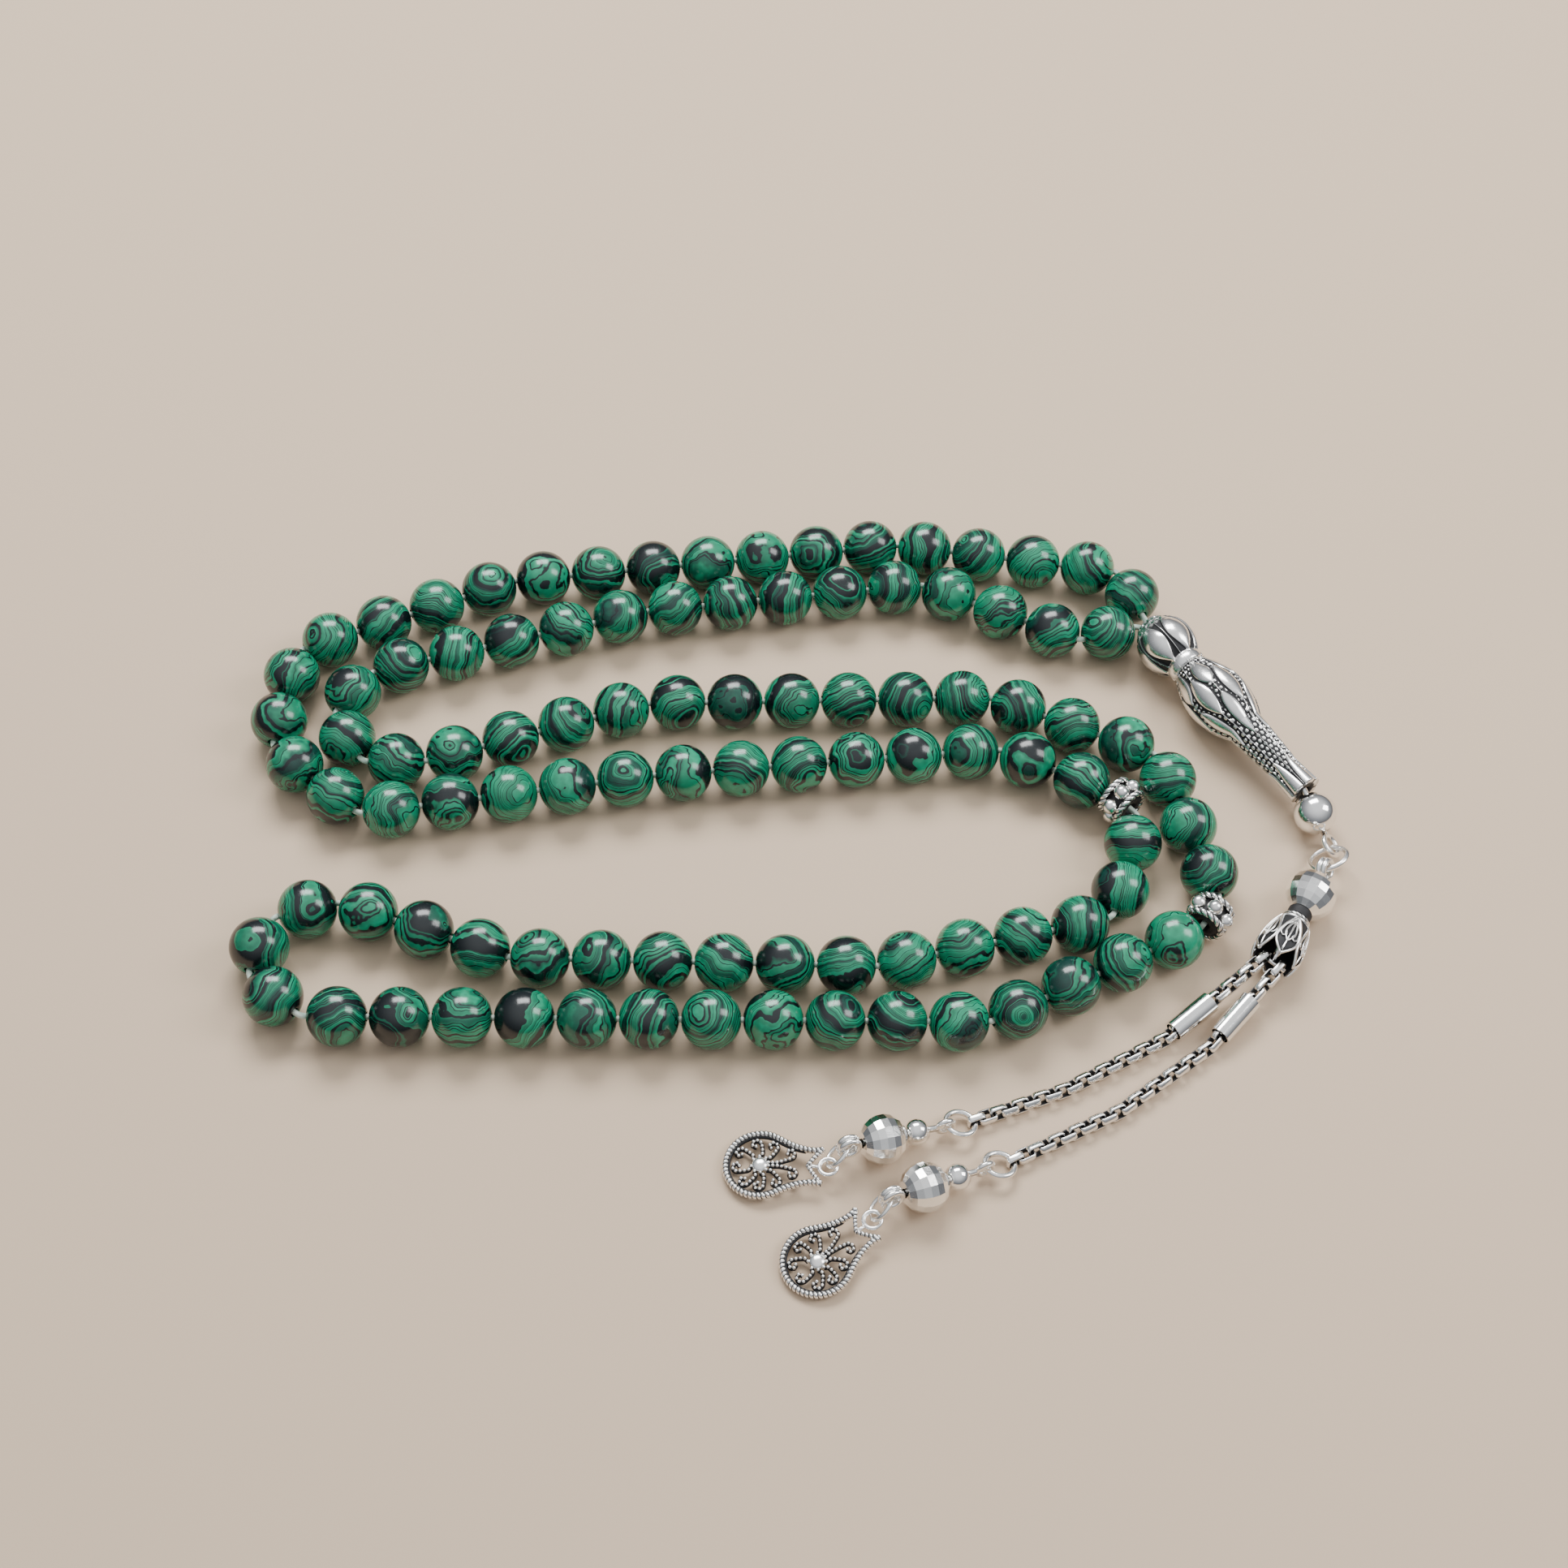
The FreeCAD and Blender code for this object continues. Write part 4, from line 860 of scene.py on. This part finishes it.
def linkForm():
    # flat band bent to an oblong frame with rounded corners
    halfLong, halfWide = (chain["long"] - chain["band"]) / 2, (chain["wide"] - chain["band"]) / 2
    corner = chain["corner"]
    path = []
    for sx, sy, start in ((1, -1, -90), (1, 1, 0), (-1, 1, 90), (-1, -1, 180)):
        for step in (0, 30, 60, 90):
            a = math.radians(start + step)
            path.append((sx * (halfLong - corner) + corner * math.cos(a),
                         sy * (halfWide - corner) + corner * math.sin(a), 0))
    path = np.array(path)
    sides = chain["bandSides"]
    angle = ringAngles(sides) + math.pi / sides
    section = np.stack([np.cos(angle), np.sin(angle)], -1)
    section = np.sign(section) * np.abs(section) ** chain["blunt"]
    rounded = []
    ahead = np.roll(path, -1, 0) - np.roll(path, 1, 0)
    ahead /= np.linalg.norm(ahead, axis=1)[:, None]
    side = np.cross((0, 0, 1.0), ahead)
    for point, out in zip(path, side):
        for a, b in section:
            rounded.append(point + out * a * chain["band"] / 2 + np.array((0, 0, b * chain["high"] / 2)))
    rounded = np.array(rounded)
    # each link's inner face is painted dark: painted shade inside the frame
    inward = np.repeat(np.einsum("ij,ij->i", side, path) > 0, sides)
    dark = np.where((np.tile(section[:, 0], len(path)) > 0) != inward, 0.85, 0.0)
    faces = gridFaces(len(path), sides, closedRows=True)
    return formObject("chainLink", joinParts("chainLink", [(rounded, faces, dark)], asMade))


def makeChains():
    form = linkForm()
    for tag, counts in chain["counts"].items():
        follow = {1: f"chain_{tag}2", 2: f"chain_{tag}3", 3: f"end_ring_{tag}"}
        for part, count in enumerate(counts, start=1):
            name = f"chain_{tag}{part}"
            start, end = pivotOf(name), pivotOf(follow[part])
            offset = chain["first"] if part == 1 else chain["bar"]
            along = [offset + k * chain["pitch"] for k in range(count)]
            turns = []
            for k in range(count):
                upright = math.pi / 2 if k % 2 == 0 else 0.0
                ease = 1.0
                if part == 1:
                    ease = min(1.0, k / chain["rollOver"])
                if part == 3:
                    ease = min(1.0, (count - 1 - k) / chain["rollOver"])
                turns.append((upright + math.radians(chain["roll"]) * ease, 0, 0))
            mesh = placedForms(f"{name}Links", [(x, 0, 0) for x in along], turns, [1.0] * count, form, "wire")
            mesh.transform(Matrix.Scale(mm, 4) @ alongAxis(start, (end - start).normalized()))
            showPiece(f"{name}Links", mesh, "wire", name)
    bpy.data.objects.remove(form)
    print("chains done")


makeChains()


# ---- openwork charms

charm = {
    "middle": 8.8, "rim": 4.44, "rimHalf": 0.46, "rimTall": 1.25, "ribs": 0.56, "join": 121.0,
    "tip": (0.75, 2.45), "bend": (2.9, 1.80), "notch": (2.65, 0.0), "boss": 1.05,
    "dot": 0.25, "dotPitch": 0.50, "curl": 0.80, "eye": 1.15, "eyeWire": 0.31,
    "well": 0.90, "wellWire": 0.17, "strand": 0.34, "strandRibs": 0.50, "bed": 0.30, "bedDepth": 0.22,
    "reach": 13.7, "restHeight": 0.62, "headings": {"a": 178.0, "b": -140.0},
}
# scrolls in the disc: bearing, length, bend and which way the curl turns
scrolls = ((14, 2.9, 0.16, 1), (58, 3.0, 0.16, 1), (98, 2.9, 0.14, 1), (140, 3.2, 0.12, 1),
           (172, 4.3, 0.05, 1), (196, 4.1, -0.06, -1), (232, 3.0, -0.12, -1), (276, 2.9, -0.14, -1),
           (322, 3.0, -0.14, -1))


def scrollPath(bearing, length, bend, way):
    base = math.radians(bearing)
    corners = [(charm["boss"] + 0.1, 0.0), (length * 0.55, bend * length), (length, bend * 2.2)]
    middle = np.array([length - 0.05, bend * 2.2 - way * charm["curl"] * 0.9])
    for step in (0.9, 1.9, 2.9, 3.9, 4.8):
        curl = charm["curl"] - 0.11 * step
        a = math.pi / 2 * way - way * step
        corners.append(tuple(middle + curl * np.array([math.cos(a), math.sin(a)])))
    corners = np.array(corners)
    spun = np.stack([corners[:, 0] * math.cos(base) - corners[:, 1] * math.sin(base),
                     corners[:, 0] * math.sin(base) + corners[:, 1] * math.cos(base)], -1)
    length = np.linalg.norm(np.diff(smoothPath(spun, 60), axis=0), axis=1).sum()
    return smoothPath(spun, max(5, round(length / charm["dotPitch"]))) + np.array([charm["middle"], 0])


def makeCharms():
    spec = charm

    def flatPath(points, height=0.0):
        points = np.asarray(points, float)
        return np.concatenate([points, np.full((len(points), 1), height)], 1)

    reach = math.radians(spec["join"])
    arc = [(spec["middle"] + spec["rim"] * math.cos(a), spec["rim"] * math.sin(a))
           for a in np.linspace(-reach, reach, 30)]
    horn = []
    for t in np.linspace(0.14, 1, 7):
        join = np.array(arc[-1])
        horn.append((1 - t) ** 2 * join + 2 * t * (1 - t) * np.array(spec["bend"])
                    + t * t * np.array(spec["tip"]))
    mirrored = [(x, -y) for x, y in horn[::-1]]
    outline = smoothPath(np.array(mirrored + arc + [tuple(point) for point in horn]), 560)
    parts = [sweep(flatPath(outline), spec["rimHalf"], 12, pitch=spec["ribs"], lobes=1, depth=0.26,
                   tall=spec["rimTall"])]
    centre = np.array([spec["middle"], 0])
    # a dark wire sunk inside the rim: painted shade
    inside = (centre + spec["well"] * (outline - centre))[30:-30:4]
    parts.append(sweep(flatPath(inside, -0.16), spec["wellWire"], 6, tall=2.0, sulphideAndShade=1.0))
    notch = np.array(spec["notch"])
    for side in (-1, 1):
        tip = np.array(spec["tip"]) * (1, side)
        strand = smoothPath([tip, (tip + notch) / 2 + np.array([0.12, 0]), notch], 70)
        parts.append(sweep(flatPath(strand, 0.12), spec["strand"], 10, pitch=spec["strandRibs"], lobes=1,
                           depth=0.30, tall=1.3))
    dots, wires = [], []
    for bearing, length, bend, way in scrolls:
        path = scrollPath(bearing, length, bend, way)
        dots += [(x, y, 0.16) for x, y in path]
        # a black bed wire sunk under each scroll: painted shade beside the dots
        bed = flatPath(smoothPath(path, len(path) * 2), -spec["bedDepth"])
        wires.append(sweep(bed, spec["bed"], 6, sulphideAndShade=1.0))
    # each dot darkens on its underside: painted shade
    dot = globe((0, 0, 0), spec["dot"], 8, 5, sulphideAndShade=-0.35)
    form = formObject("charmDot", joinParts("charmDot", [dot], asMade))
    granules = placedForms("charmDots", dots, [(0, 0, 0.3 * k) for k in range(len(dots))],
                           [1.0 if k % 3 else 0.92 for k in range(len(dots))], form, "worked")
    parts += wires + [asPart(granules)]
    # the boss darkens on its underside: painted shade
    parts.append(globe((spec["middle"], 0, 0.10), spec["boss"], 20, 12, flat=0.46, sulphideAndShade=-0.25))
    parts.append(lathe([(1.2, 0.28), (2.6, 0.28), (2.6, 0.05), (1.2, 0.05)], 12))
    eye = ringPath(0, spec["eye"], 40)[:, [1, 2, 0]]
    parts.append(sweep(eye, spec["eyeWire"], 12, closed=True))
    for tag, heading in spec["headings"].items():
        name = f"charm_{tag}"
        pivot = pivotOf(name)
        fall = math.degrees(math.asin((pivot.z - spec["restHeight"]) / spec["reach"]))
        mesh = joinParts(f"{name}Openwork", parts, placeAt(pivot, heading, -fall))
        showPiece(f"{name}Openwork", mesh, "worked", name)
    bpy.data.objects.remove(form)
    print("charms", len(dots), "dots each")


makeCharms()


# ---- pins, rings, tubes and balls: turned and drawn shapes

drawn = {"spacer": "blackened", "ball": "polished", "eye_pin": "wire", "jump_ring": "wire", "head_pin": "wire"}
for tag in ("a", "b"):
    drawn.update({f"sleeve_{tag}": "polished", f"small_ball_{tag}": "polished", f"end_ring_{tag}": "wire",
                  f"drop_pin_{tag}": "wire", f"oval_ring_{tag}": "wire"})
sharpEdge = 50.0        # degrees, past which an edge stays crisp


def smoothCopy(name):
    # the loose triangles of a shape joined up, so that light runs smoothly round it
    mesh = frame["nodes"][name].data.copy()
    mesh.name = f"{name}Drawn"
    work = bmesh.new()
    work.from_mesh(mesh)
    bmesh.ops.remove_doubles(work, verts=work.verts, dist=1e-6)
    bmesh.ops.recalc_face_normals(work, faces=work.faces)
    work.to_mesh(mesh)
    work.free()
    mesh.polygons.foreach_set("use_smooth", np.full(len(mesh.polygons), True))
    mesh.set_sharp_from_angle(angle=math.radians(sharpEdge))
    mesh.materials.clear()
    return mesh


def makeDrawnPieces():
    for name, finish in drawn.items():
        showPiece(f"{name}Drawn", smoothCopy(name), finish, name)
    print("drawn pieces", len(drawn))


makeDrawnPieces()

thread = frame["nodes"]["thread"]
if thread.material_slots:
    thread.material_slots[0].material = finishes["cord"]
else:
    thread.data.materials.append(finishes["cord"])
print("thread finished")
